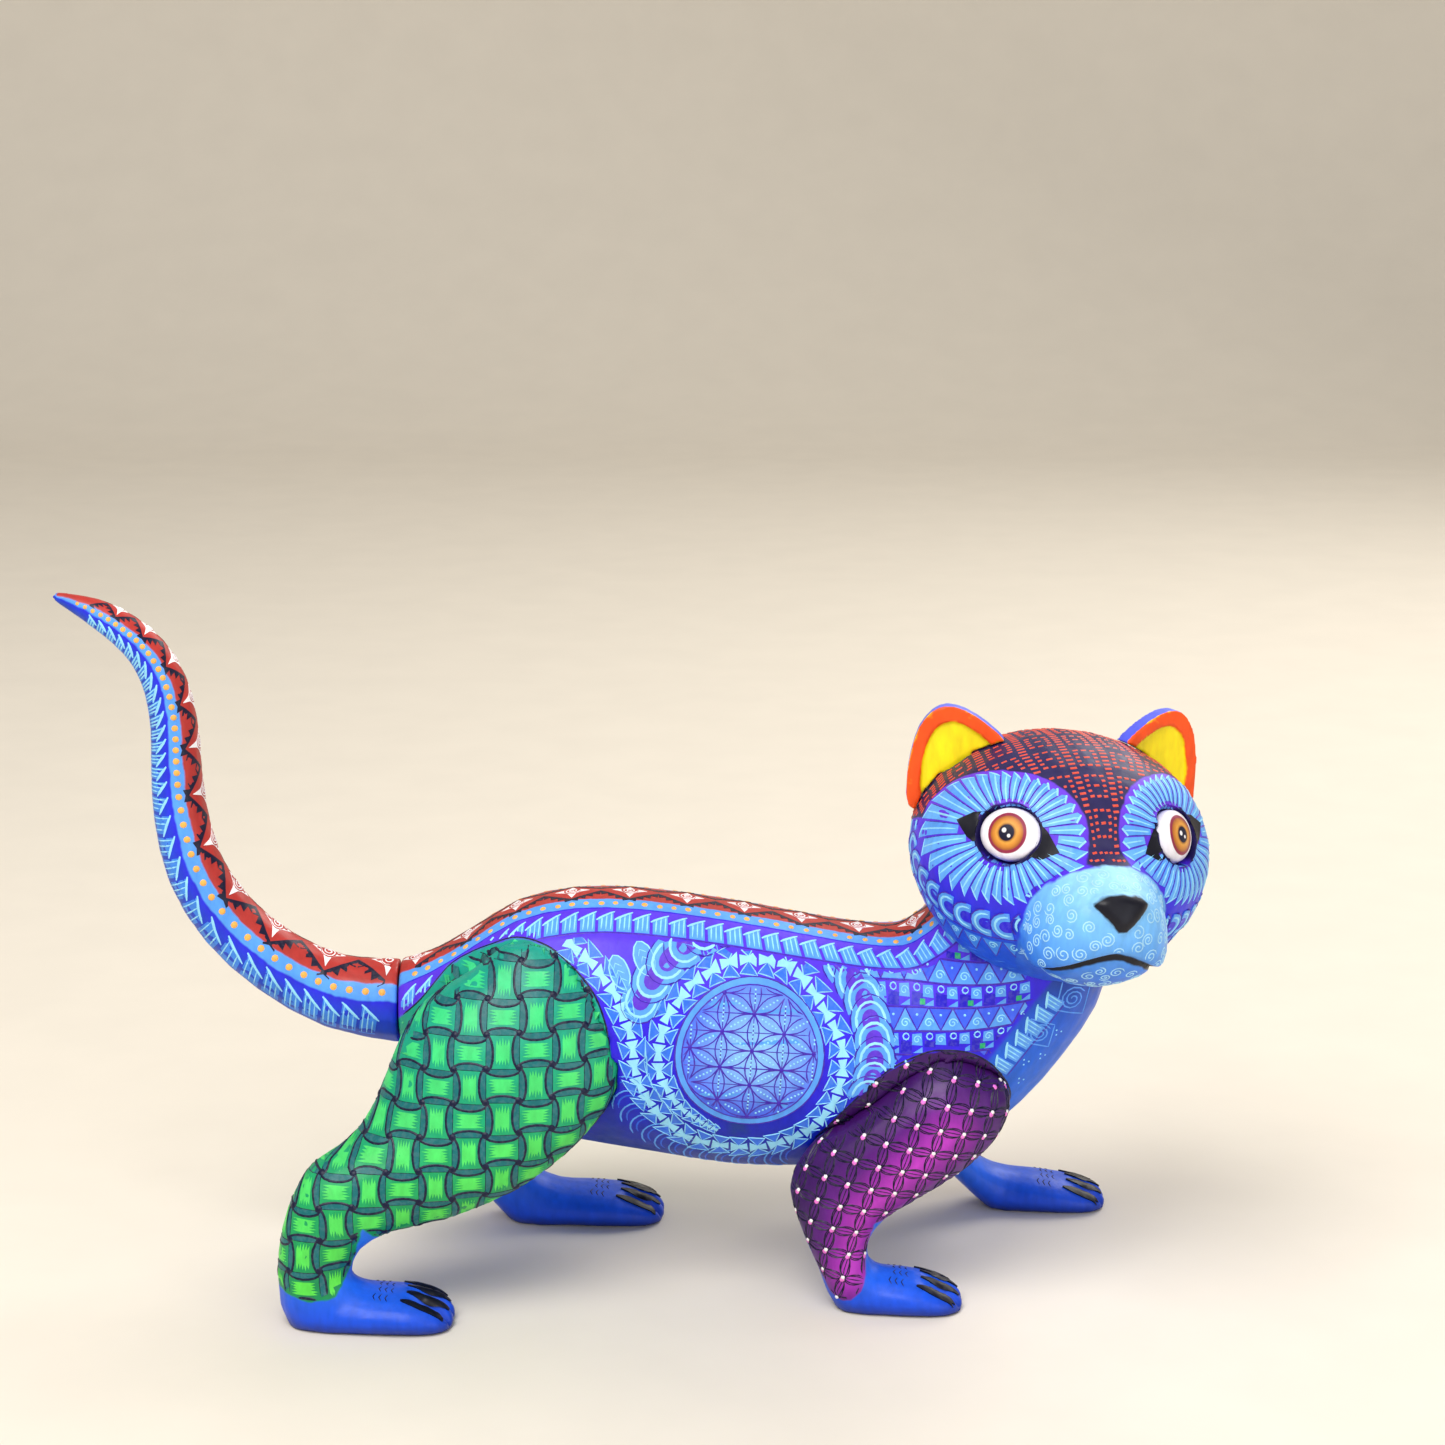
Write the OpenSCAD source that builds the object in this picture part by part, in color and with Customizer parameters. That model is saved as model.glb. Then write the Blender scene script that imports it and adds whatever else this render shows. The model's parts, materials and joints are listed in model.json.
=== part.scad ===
// Carved and painted wooden feline, walking, with its head turned to its right.
// +X is the way it walks, +Y is its left side, and it stands on z = 0.
// The trunk with the neck, the head, the four legs, the two eyes and the dowels are glued together.
// The two ears and the tail are push fits, and lift out of their sockets.

/* [Trunk] */
// Half width of the trunk at the belly
trunk_half_width = 32; // [30:0.5:33]
// Distance of the legs' flat seats from the middle plane
seat_offset = 22; // [21:0.5:23]

/* [Stance] */
// How far the left forefoot stands ahead of the right one
fore_stride = 46; // [36:1:48]
// How far the left hind foot stands ahead of the right one
hind_stride = 54; // [44:1:56]
// How much further out the left forefoot stands than the right one
fore_spread = 13; // [6:1:14]
// How much further out the left hind foot stands than the right one
hind_spread = -9; // [-10:1:2]

/* [Head] */
// Angle that the head is turned to its right
head_turn = 77; // [70:1:82]
// Angle that the head's left side is tipped down
head_tip = 4; // [0:0.1:5]
// Radius of an eye dome
eye_radius = 7.4; // [6.8:0.1:7.6]
// Thickness of an ear
ear_thickness = 4.6; // [4.4:0.2:6]
// Angle that each ear is turned outwards
ear_splay = 18; // [10:1:20]

/* [Joinery] */
// Radius of the glued dowels
dowel_radius = 4; // [3:0.5:4.5]
// Radius of the tail's round peg
tail_peg_radius = 5.5; // [4.5:0.5:6]
// Length of the tail's round peg
tail_peg_length = 18; // [12:1:20]
// Depth of the ears' flat tenons
ear_tenon_length = 8; // [6:0.5:9]
// Clearance round the pegs and tenons that pull out
push_fit_gap = 0.05; // [0.02:0.01:0.1]
// Gap between a pull-out piece and the surface it sits on
seat_gap = 0.3; // [0.2:0.05:0.4]

/* [Hidden] */

// Moves the figure so that the middle of its box is over the origin
centre_shift = [25.4, 4.5, 0];
sky_blue = [0.2, 0.45, 0.95];
violet_blue = [0.2, 0.15, 0.85];
fine = 64;
reach = 400;

// Profile rows: [front or upper x, z, rear or lower x, z, centre y, half width]
torso_rows = [
    [-88, 86.5, -88, 63.5, 0, 11.5],
    [-80, 88.5, -80, 57, 0, 17.5],
    [-69, 94.5, -70, 47, 0, 24.5],
    [-56, 102.5, -57, 40.5, 0, 29],
    [-40, 106, -40, 37, 0, trunk_half_width - 0.8],
    [-22, 105.7, -20, 33.5, 0, trunk_half_width],
    [0, 102.7, 2, 30, 0, trunk_half_width],
    [18, 99.3, 24, 29.5, 0, trunk_half_width - 0.7],
    [34, 96.5, 46, 30.5, 0, trunk_half_width - 1.5],
    [46, 96, 65, 35.5, 0, trunk_half_width - 2.5],
    [51, 99, 80, 48, -1, trunk_half_width - 3],
    [55, 103, 91, 62, -3, 27.5],
    [59, 108, 99.5, 77, -6, 26],
    [63, 112, 103, 91, -8, 24]
];

hindleg_rows = [
    [-47, 96.5, -59, 96, -18.5, 3.5],
    [-37, 91.5, -67.5, 89.5, -19.5, 8],
    [-29.5, 83.5, -79.5, 82, -21, 12],
    [-26.5, 73, -86.5, 72, -23.5, 14.8],
    [-28.5, 60, -92, 58, -27.5, 15.5],
    [-37, 48, -97, 50, -31, 14.5],
    [-52, 36, -102, 46, -34.5, 12.5],
    [-71, 28, -108.5, 42.5, -37.5, 10.5],
    [-87, 25, -113, 36, -40, 9.2],
    [-96, 20, -116.5, 26, -41, 8.6],
    [-98.5, 13.5, -118, 13, -42, 8.8],
    [-95, 11, -115, -1, -42.5, 10],
    [-89, 10, -100, -2, -43, 11.2],
    [-81, 9, -86, -2, -43, 12],
    [-74.5, 6.5, -77, -2, -43, 10.5],
    [-71.8, 3, -72.5, -0.5, -43, 6.5]
];

foreleg_rows = [
    [62, 68.5, 54, 68, -24, 3.5],
    [70.5, 64, 46, 62.5, -25, 9],
    [75.3, 57, 39, 56.5, -26, 12.3],
    [74, 49.5, 31, 50.5, -26.5, 13.3],
    [69, 42.5, 23.5, 45, -27.3, 12.8],
    [61, 36, 18.5, 38.5, -28.3, 11.8],
    [51, 30, 16.8, 32, -29.2, 10.6],
    [42.8, 25, 18.3, 26, -30, 9.4],
    [38.2, 19, 21, 18.5, -30.5, 8.7],
    [37.8, 13.5, 24.3, 11, -30.8, 8.6],
    [41, 10.8, 29.5, -1, -31, 9.2],
    [47, 9.8, 39, -2, -31, 10.4],
    [53.5, 8.2, 49, -2, -31, 11.2],
    [59.5, 5.8, 58, -2, -31, 9.8],
    [62.6, 2.8, 62.2, -0.5, -31, 6]
];

// Tail centreline rows from the tip to the root: [x, z, radius]
tail_rows = [
    [-177, 186.4, 1.2],
    [-167.5, 182.6, 3.6],
    [-159.4, 177.5, 4.7],
    [-152.9, 171, 5.4],
    [-148.6, 162, 6],
    [-146.8, 151, 6.4],
    [-146.6, 139.5, 6.8],
    [-145.9, 127, 7.3],
    [-142.4, 111.5, 7.9],
    [-134, 97.5, 8.5],
    [-121.5, 86, 9.1],
    [-105.5, 77.6, 10.2],
    [-88.3, 75, 11.5]
];

// Rows of the skull and of the muzzle in the head's own frame, where the head looks along +X
skull_rows = [
    [-36.5, 6, -36.5, -8, 0, 8],
    [-33.5, 16, -33.5, -15.5, 0, 18],
    [-26, 25, -26, -24, 0, 29],
    [-14, 31.3, -13, -30.5, 0, 36.8],
    [0, 33, 1, -33, 0, 39.5],
    [13, 31.3, 14, -31.5, 0, 37.8],
    [23.5, 26, 24, -26.5, 0, 32],
    [31.5, 18.5, 31.5, -19, 0, 23.5],
    [36, 9, 36, -10, 0, 12.5]
];
skull_ends = [[-37.5, 0, -1], [37.5, 0, -0.5]];
muzzle_rows = [
    [10, 10, 12, -22, 0, 13],
    [21, 16, 26, -25.5, 0, 17],
    [32, 12.5, 35, -26, 0, 18.2],
    [40, 7.6, 41, -24.5, 0, 17],
    [46.5, 4.6, 46, -21.5, 0, 14.2],
    [50.6, 1.4, 49.6, -17, 0, 10.4],
    [52.4, -2.8, 51.8, -12.5, 0, 5.5]
];
muzzle_ends = [[9, 0, -6], [52.9, 0, -7.5]];
// The skull is wider above its middle, and the muzzle below
skull_lean = 0.07;
muzzle_lean = -0.2;
muzzle_fullness = 2.4;
head_centre = [87.3, -12, 119];

// Eye axis in the head's own frame, and how far out the eye's rim is
eye_azimuth = 41.5;
eye_elevation = 19.8;
eye_reach = 35;
eye_rise = 3.6;
eye_stem_radius = 3;
eye_stem_length = 7;

// Ear outline in the head's cross plane: base inside, up the inner edge, tip, down the outer edge
ear_outline = [
    [12, 24], [15, 30], [20.5, 34.6], [26.5, 37.8], [31.4, 38.6], [35.2, 36.8],
    [38.4, 32], [40, 25], [40.4, 18], [39.4, 11], [33, 8]
];
ear_middle = [27, 23];
ear_setback = 6;
ear_tilt = 50;
ear_tenon_width = 9;
ear_tenon_thickness = 3;
ear_tenon_setback = 0.5;
ear_seat = 35.5;
ear_dish = 1;
ear_rim_scale = 0.74;

hip_centre = [-56, 76];
shoulder_centre = [57, 54];
hip_height = 95;
shoulder_height = 75;
foot_height = 6;
dowel_half_length = 11;
neck_dowel_half_length = 14;
neck_axis = [0.44, 0, 0.9];
neck_end = [83, -8, 101.5];

// ---- Curves and lofts ----

// Catmull-Rom curve between rows b and c
function blend_rows(a, b, c, d, s) =
    0.5 * (2 * b + (c - a) * s + (2 * a - 5 * b + 4 * c - d) * s * s + (3 * b - a - 3 * c + d) * s * s * s);

// A smooth row at place t, counted in rows from 0
function row_at(rows, t) =
    let (last = len(rows) - 1, k = min(floor(t), last - 1))
    blend_rows(rows[max(k - 1, 0)], rows[k], rows[k + 1], rows[min(k + 2, last)], t - k);

function smooth_rows(rows, steps) =
    [for (k = [0 : (len(rows) - 1) * steps]) row_at(rows, k / steps)];

// Sine or cosine bent towards a squarer ring: a fullness of 2 is an ellipse
function full(v, fullness) = sign(v) * pow(abs(v), 2 / fullness);

// A ring from a profile row, grown by grow on every side. With lean it is wider at its upper or front end.
function profile_ring(row, sides, grow = 0, lean = 0, fullness = 2) =
    let (
        middle = [(row[0] + row[2]) / 2, row[4], (row[1] + row[3]) / 2],
        half = [(row[0] - row[2]) / 2, 0, (row[1] - row[3]) / 2],
        longer = 1 + grow / norm(half)
    )
    [for (i = [0 : sides - 1])
        let (
            rise = full(cos(360 * i / sides), fullness),
            side = full(sin(360 * i / sides), fullness) * (1 + lean * rise)
        )
        middle + half * longer * rise + [0, (row[5] + grow) * side, 0]];

// A round ring square to the tail's centreline
function tail_ring(rows, k, sides) =
    let (
        before = rows[max(k - 1, 0)],
        after = rows[min(k + 1, len(rows) - 1)],
        run = [after[0] - before[0], after[1] - before[1]] / norm([after[0] - before[0], after[1] - before[1]]),
        x_only = k == len(rows) - 1 ? [1, 0] : run
    )
    [for (i = [0 : sides - 1])
        [rows[k][0] - rows[k][2] * cos(360 * i / sides) * x_only[1],
         rows[k][2] * sin(360 * i / sides),
         rows[k][1] + rows[k][2] * cos(360 * i / sides) * x_only[0]]];

function ring_middle(ring) = [for (c = [0 : 2]) mean([for (p = ring) p[c]])];
function mean(v) = v * [for (i = v) 1] / len(v);

// A closed solid through rings of points, with a fan of triangles at each end
module loft(rings, start, end) {
    n = len(rings[0]);
    last = len(rings) - 1;
    points = concat([for (ring = rings) each ring], [start, end]);
    start_point = n * (last + 1);
    end_point = start_point + 1;
    sides = [for (k = [0 : last - 1]) for (i = [0 : n - 1])
        let (a = k * n + i, b = k * n + (i + 1) % n)
        each [[a, b, b + n], [a, b + n, a + n]]];
    caps = [for (i = [0 : n - 1])
        let (j = (i + 1) % n)
        each [[start_point, j, i], [end_point, last * n + i, last * n + j]]];
    polyhedron(points = points, faces = concat(sides, caps));
}

// ---- Whole shapes, before any joint is cut ----

module torso_shape() {
    rings = [for (row = smooth_rows(torso_rows, 2)) profile_ring(row, 28)];
    loft(rings, ring_middle(rings[0]), ring_middle(rings[len(rings) - 1]));
}

module skull_shape(grow = 0) {
    rings = [for (row = smooth_rows(skull_rows, 2)) profile_ring(row, 28, grow, skull_lean)];
    loft(rings, skull_ends[0] - [grow, 0, 0], skull_ends[1] + [grow, 0, 0]);
}

module muzzle_shape() {
    rings = [for (row = smooth_rows(muzzle_rows, 2)) profile_ring(row, 24, 0, muzzle_lean, muzzle_fullness)];
    loft(rings, muzzle_ends[0], muzzle_ends[1]);
}

// Share of the stride that a point at height z takes: all of it in the foot, none at the joint
function step_share(z, height) =
    pow(max(0, 1 - max(z - foot_height, 0) / (height - foot_height)), 2);

function step_row(row, stride, spread, height) = [
    row[0] + stride * step_share(row[1], height),
    row[1],
    row[2] + stride * step_share(row[3], height),
    row[3],
    row[4] - spread * step_share((row[1] + row[3]) / 2, height),
    row[5]
];

// Three grooves between the toes, sloping down to the tips
module toe_grooves(row) {
    for (k = [-1 : 1])
        translate([row[0] - 10, row[4] + 4.6 * k, 9.8 - abs(k)])
            rotate([0, 27, 6 * k])
                rotate([45, 0, 0])
                    cube([26, 2.6, 2.6], center = true);
}

module leg_shape(rows, sides, stride, spread, height) {
    stepped = [for (row = rows) step_row(row, stride, spread, height)];
    rings = [for (row = smooth_rows(stepped, 2)) profile_ring(row, sides)];
    last = len(rings) - 1;
    difference() {
        loft(rings, ring_middle(rings[0]) + [0, 0, 0.8], ring_middle(rings[last]) + [0.8, 0, 0]);
        toe_grooves(stepped[len(rows) - 1]);
        translate([-reach / 2, -reach / 2, -reach])
            cube(reach);
    }
}

module hindleg_shape(stride = 0, spread = 0) {
    leg_shape(hindleg_rows, 18, stride, spread, hip_height);
}

module foreleg_shape(stride = 0, spread = 0) {
    leg_shape(foreleg_rows, 16, stride, spread, shoulder_height);
}

// The space beyond the legs' flat seats on the right-hand side
module right_side() {
    translate([-reach / 2, -seat_offset - reach, -reach / 4])
        cube(reach);
}

module trunk_core() {
    intersection() {
        torso_shape();
        translate([-reach / 2, -seat_offset, -reach / 4])
            cube([reach, 2 * seat_offset, reach]);
    }
}

// ---- Dowels, pegs and tenons ----

module leg_dowel(place, stride = 0, height = 1) {
    translate([place[0] + stride * step_share(place[1], height), -seat_offset, place[1]])
        rotate([90, 0, 0])
            cylinder(r = dowel_radius, h = 2 * dowel_half_length, center = true, $fn = fine);
}

module hip_dowel_shape(stride = 0) {
    leg_dowel(hip_centre, stride, hip_height);
}

module shoulder_dowel_shape(stride = 0) {
    leg_dowel(shoulder_centre, stride, shoulder_height);
}

module neck_dowel_shape() {
    translate(neck_end)
        rotate([0, atan2(neck_axis[0], neck_axis[2]), 0])
            cylinder(r = dowel_radius, h = 2 * neck_dowel_half_length, center = true, $fn = fine);
}

module tail_peg(gap = 0) {
    translate([torso_rows[0][0] - 1, 0, tail_rows[len(tail_rows) - 1][1]])
        rotate([0, 90, 0])
            cylinder(r = tail_peg_radius + gap, h = tail_peg_length + 1 + 2 * gap, $fn = fine);
}

// The head's own frame, side = -1 for its right and 1 for its left
module on_head() {
    translate(head_centre)
        rotate([-head_tip, 0, -head_turn])
            children();
}

module at_ear(side) {
    translate([-ear_setback, side * ear_middle[0], 0])
        rotate([0, 0, side * ear_splay])
            translate([0, -side * ear_middle[0], 0])
                children();
}

module ear_tenon(side, gap = 0) {
    size = [
        ear_tenon_thickness + 2 * gap,
        ear_tenon_width + 2 * gap,
        2 * (ear_tenon_length + gap)
    ];
    at_ear(side)
        rotate([-side * ear_tilt, 0, 0])
            translate([-ear_tenon_setback, 0, ear_seat])
                cube(size, center = true);
}

module ear_plate(side) {
    outline = [for (p = smooth_rows(ear_outline, 2)) [side * p[0], p[1]]];
    middle = [side * ear_middle[0], ear_middle[1]];
    dish = [for (p = outline) middle + (p - middle) * ear_rim_scale];
    at_ear(side)
        rotate([90, 0, 90])
            difference() {
                translate([0, 0, -ear_thickness / 2])
                    linear_extrude(ear_thickness)
                        polygon(outline);
                translate([0, 0, ear_thickness / 2 - ear_dish])
                    linear_extrude(ear_thickness)
                        polygon(dish);
            }
}

module at_eye(side) {
    rotate([0, 0, side * eye_azimuth])
        rotate([0, 90 - eye_elevation, 0])
            translate([0, 0, eye_reach])
                children();
}

module eye_shape() {
    dome_radius = (eye_radius * eye_radius + eye_rise * eye_rise) / (2 * eye_rise);
    intersection() {
        translate([0, 0, eye_rise - dome_radius])
            sphere(r = dome_radius, $fn = fine);
        cylinder(r = eye_radius, h = 2 * eye_rise, $fn = fine);
    }
    translate([0, 0, -eye_stem_length])
        cylinder(r = eye_stem_radius, h = eye_stem_length + 1, $fn = fine);
}

module eye_socket() {
    cylinder(r = eye_radius, h = 3 * eye_rise, $fn = fine);
    translate([0, 0, -eye_stem_length])
        cylinder(r = eye_stem_radius, h = eye_stem_length + 1, $fn = fine);
}

// ---- Sub-parts ----

module torso() {
    color(violet_blue)
        difference() {
            torso_shape();
            intersection() {
                hindleg_shape();
                right_side();
            }
            intersection() {
                foreleg_shape();
                right_side();
            }
            mirror([0, 1, 0])
                intersection() {
                    hindleg_shape(hind_stride, hind_spread);
                    right_side();
                }
            mirror([0, 1, 0])
                intersection() {
                    foreleg_shape(fore_stride, fore_spread);
                    right_side();
                }
            hip_dowel_shape();
            shoulder_dowel_shape();
            mirror([0, 1, 0])
                hip_dowel_shape(hind_stride);
            mirror([0, 1, 0])
                shoulder_dowel_shape(fore_stride);
            neck_dowel_shape();
            tail_peg(push_fit_gap);
        }
}

module head() {
    color(sky_blue)
        difference() {
            on_head() {
                skull_shape();
                muzzle_shape();
            }
            torso_shape();
            neck_dowel_shape();
            on_head()
                for (side = [-1, 1]) {
                    ear_tenon(side, push_fit_gap);
                    at_eye(side)
                        eye_socket();
                }
        }
}

module ear(side) {
    color("gold")
        on_head() {
            difference() {
                ear_plate(side);
                skull_shape(seat_gap);
            }
            ear_tenon(side);
        }
}

module eye(side) {
    color("white")
        on_head()
            at_eye(side)
                eye_shape();
}

module tail() {
    rows = smooth_rows(tail_rows, 2);
    rings = [for (k = [0 : len(rows) - 1]) tail_ring(rows, k, 14)];
    color(violet_blue) {
        loft(rings, ring_middle(rings[0]) + [-1, 0, 0.4], ring_middle(rings[len(rings) - 1]));
        tail_peg();
    }
}

module hindleg_right() {
    color("seagreen")
        difference() {
            hindleg_shape();
            trunk_core();
            hip_dowel_shape();
        }
}

module hindleg_left() {
    color("royalblue")
        mirror([0, 1, 0])
            difference() {
                hindleg_shape(hind_stride, hind_spread);
                trunk_core();
                hip_dowel_shape(hind_stride);
            }
}

module foreleg_right() {
    color("purple")
        difference() {
            foreleg_shape();
            trunk_core();
            shoulder_dowel_shape();
        }
}

module foreleg_left() {
    color("royalblue")
        mirror([0, 1, 0])
            difference() {
                foreleg_shape(fore_stride, fore_spread);
                trunk_core();
                shoulder_dowel_shape(fore_stride);
            }
}

module dowel_colour() {
    color("burlywood")
        children();
}

translate(centre_shift) {
    torso();
    head();
    dowel_colour() neck_dowel_shape();  // neck_dowel
    ear(-1);  // ear_right
    ear(1);  // ear_left
    eye(-1);  // eye_right
    eye(1);  // eye_left
    tail();
    foreleg_right();
    foreleg_left();
    dowel_colour() shoulder_dowel_shape();  // shoulder_dowel_right
    dowel_colour() mirror([0, 1, 0]) shoulder_dowel_shape(fore_stride);  // shoulder_dowel_left
    hindleg_right();
    hindleg_left();
    dowel_colour() hip_dowel_shape();  // hip_dowel_right
    dowel_colour() mirror([0, 1, 0]) hip_dowel_shape(hind_stride);  // hip_dowel_left
}
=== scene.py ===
import json
import math
import random

import bpy
import numpy as np
from mathutils import Matrix, Vector
from mathutils.bvhtree import BVHTree
from mathutils.geometry import delaunay_2d_cdt
from mathutils.kdtree import KDTree


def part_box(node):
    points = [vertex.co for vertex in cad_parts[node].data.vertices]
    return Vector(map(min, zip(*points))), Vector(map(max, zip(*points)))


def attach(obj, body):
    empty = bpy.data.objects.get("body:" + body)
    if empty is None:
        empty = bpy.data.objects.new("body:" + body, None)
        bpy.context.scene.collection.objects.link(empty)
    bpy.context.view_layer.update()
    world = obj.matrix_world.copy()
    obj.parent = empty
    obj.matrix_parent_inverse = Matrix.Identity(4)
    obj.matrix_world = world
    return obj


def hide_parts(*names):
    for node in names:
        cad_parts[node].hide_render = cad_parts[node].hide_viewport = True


# A carved and painted wooden feline. The CAD pieces set every place and size. Each visible piece gets
# a smooth carved skin, and the painted patterns lie on the skins as thin raised strokes and fills.
# Lengths in this script are millimetres until a mesh is built; MM turns them into metres.

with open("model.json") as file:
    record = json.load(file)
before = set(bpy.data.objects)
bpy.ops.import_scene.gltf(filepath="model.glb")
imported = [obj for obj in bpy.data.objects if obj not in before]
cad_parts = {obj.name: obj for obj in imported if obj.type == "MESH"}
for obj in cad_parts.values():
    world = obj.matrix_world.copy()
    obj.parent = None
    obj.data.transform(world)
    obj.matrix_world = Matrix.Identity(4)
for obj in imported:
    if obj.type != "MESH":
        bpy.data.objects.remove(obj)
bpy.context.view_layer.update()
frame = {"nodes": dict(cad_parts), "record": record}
MM = 0.001
rng = random.Random(11)


# ---------------------------------------------------------------- colours

def srgb(red, green, blue):
    """The linear colour of a 0 to 255 display colour."""
    def linear(value):
        value /= 255
        return value / 12.92 if value <= 0.04045 else ((value + 0.055) / 1.055) ** 2.4
    return (linear(red), linear(green), linear(blue), 1.0)


LIGHT_BLUE = srgb(86, 158, 244)
PALE_CYAN = srgb(150, 222, 255)
ULTRAMARINE = srgb(36, 18, 214)
VIOLET = srgb(92, 48, 206)
PAINTED_NECK_SHADE = srgb(14, 22, 96)
CHEST = srgb(24, 104, 224)
# painted shade under the head, at the top of the chest
FOOT = srgb(18, 76, 216)
# painted shade round the edge of each eyeball
EYE_EDGE_SHADE = srgb(26, 14, 84)
CLAW = srgb(7, 7, 24)
TEAL = srgb(8, 104, 108)
LEG_NAVY = srgb(3, 12, 50)
PURPLE = srgb(58, 10, 92)
BRICK = srgb(178, 50, 44)
INK = srgb(12, 8, 44)
ORANGE_DOT = srgb(246, 178, 84)
WHITE = srgb(248, 244, 246)
PINK = srgb(240, 120, 214)
EAR_YELLOW = srgb(255, 232, 20)
EAR_BORDER = srgb(250, 84, 20)
CROWN = srgb(40, 34, 84)
CROWN_BRICK = srgb(222, 78, 56)
# the muzzle's pale paint, partly painted light on its top
MUZZLE_PALE_AND_LIT = srgb(156, 214, 252)
IRIS_RING = srgb(146, 38, 70)
LINE_VIOLET = srgb(64, 26, 176)
BARE_WOOD = srgb(196, 160, 112)


def mixed(first, second, share):
    """The colour that lies that share of the way from first to second."""
    return tuple(a + (b - a) * share for a, b in zip(first, second))


# ---------------------------------------------------------------- the frame's measures

def box_mm(node):
    low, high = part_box(node)
    return low / MM, high / MM


torso_low, torso_high = box_mm("torso")
head_low, head_high = box_mm("head")
middle_y = (torso_low.y + torso_high.y) / 2

HEAD_TURN = math.radians(-77)
HEAD_TIP = math.radians(-4)
SKULL_HALF = Vector((37.5, 39.5, 33))
head_centre = Vector(((head_low.x + head_high.x) / 2, head_high.y - SKULL_HALF.x, head_high.z - SKULL_HALF.z))
head_frame = (Matrix.Translation(head_centre) @ Matrix.Rotation(HEAD_TURN, 4, "Z")
              @ Matrix.Rotation(HEAD_TIP, 4, "X"))
to_head = head_frame.inverted()

EYE_AZIMUTH = math.radians(41.5)
EYE_ELEVATION = math.radians(19.8)
FACE_RADIUS = 36.0


def head_direction(x, y, z):
    """A direction of the head's own frame, in the row frame."""
    return (head_frame.to_3x3() @ Vector((x, y, z))).normalized()


def eye_axis(side):
    """Where the eye looks; side is -1 for the figure's right eye and 1 for its left."""
    return head_direction(math.cos(side * EYE_AZIMUTH) * math.cos(EYE_ELEVATION),
                          math.sin(side * EYE_AZIMUTH) * math.cos(EYE_ELEVATION),
                          math.sin(EYE_ELEVATION))


# ---------------------------------------------------------------- smooth curves

def smooth_path(points, step, closed=False):
    """A Catmull-Rom curve through the points, as a dense list of tuples about step apart."""
    rows = [np.array(p, float) for p in points]
    if closed:
        rows = [rows[-1]] + rows + rows[:2]
    else:
        rows = [2 * rows[0] - rows[1]] + rows + [2 * rows[-1] - rows[-2]]
    dense = []
    for before, start, end, after in zip(rows, rows[1:], rows[2:], rows[3:]):
        count = max(1, round(float(np.linalg.norm(end - start)) / step))
        for i in range(count):
            t = i / count
            square = 2 * before - 5 * start + 4 * end - after
            cube = 3 * start - before - 3 * end + after
            dense.append(0.5 * (2 * start + (end - before) * t + square * t ** 2 + cube * t ** 3))
    if not closed:
        dense.append(rows[-2])
    return [tuple(p) for p in dense]


def even_steps(points, step):
    """The polyline with points added so that none of its stretches is longer than step."""
    made = [tuple(points[0])]
    for start, end in zip(points, points[1:]):
        count = max(1, math.ceil(math.dist(start, end) / step))
        made += [tuple(a + (b - a) * i / count for a, b in zip(start, end)) for i in range(1, count + 1)]
    return made


def inside_distance(points, outline):
    """How far each (x, z) point is inside the closed outline; negative outside it."""
    points = np.asarray(points, float)
    ring = np.array(outline, float)
    nearest = np.full(len(points), 1e9)
    inside = np.zeros(len(points), bool)
    for start, end in zip(ring, np.roll(ring, -1, axis=0)):
        edge = end - start
        share = np.clip(((points - start) @ edge) / max(edge @ edge, 1e-9), 0, 1)
        nearest = np.minimum(nearest, np.linalg.norm(points - start - share[:, None] * edge, axis=1))
        crosses = (start[1] > points[:, 1]) != (end[1] > points[:, 1])
        rise = end[1] - start[1]
        level = start[0] + (points[:, 1] - start[1]) / (rise if abs(rise) > 1e-9 else 1e-9) * edge[0]
        inside ^= crosses & (points[:, 0] < level)
    return np.where(inside, nearest, -nearest)


def ring(centre, radius, count, squash=1.0, turn=0.0):
    """A closed circle or ellipse of points; the last repeats the first."""
    made = []
    for i in range(count + 1):
        angle = 2 * math.pi * i / count
        x, y = radius * math.cos(angle), radius * squash * math.sin(angle)
        made.append((centre[0] + x * math.cos(turn) - y * math.sin(turn),
                     centre[1] + x * math.sin(turn) + y * math.cos(turn)))
    return made


def spiral(centre, radius, turns, start=0.0, hand=1):
    """A spiral from the rim to near the centre."""
    count = max(8, round(turns * 11))
    made = []
    for i in range(count + 1):
        share = i / count
        angle = start + hand * share * turns * 2 * math.pi
        reach = radius * (1 - 0.86 * share)
        made.append((centre[0] + reach * math.cos(angle), centre[1] + reach * math.sin(angle)))
    return made


# ---------------------------------------------------------------- skins

def skin_of(node, voxel, rounds):
    """A closed copy of a CAD node, remeshed at voxel mm and smoothed, as a new object named after it."""
    mesh = frame["nodes"][node].data.copy()
    skin = bpy.data.objects.new(node + "_skin", mesh)
    bpy.context.scene.collection.objects.link(skin)
    remesh = skin.modifiers.new("even", "REMESH")
    remesh.mode = "VOXEL"
    remesh.voxel_size = voxel * MM
    remesh.use_smooth_shade = True
    smooth = skin.modifiers.new("soft", "SMOOTH")
    smooth.iterations = rounds
    smooth.factor = 0.5
    evaluated = skin.evaluated_get(bpy.context.evaluated_depsgraph_get())
    even = bpy.data.meshes.new_from_object(evaluated)
    skin.modifiers.clear()
    skin.data = even
    even.materials.clear()
    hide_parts(node)
    return skin


def points_of(skin):
    """The skin's vertices in millimetres, as an array."""
    flat = np.zeros(len(skin.data.vertices) * 3, np.float32)
    skin.data.vertices.foreach_get("co", flat)
    return flat.reshape(-1, 3).astype(float) / MM


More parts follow.
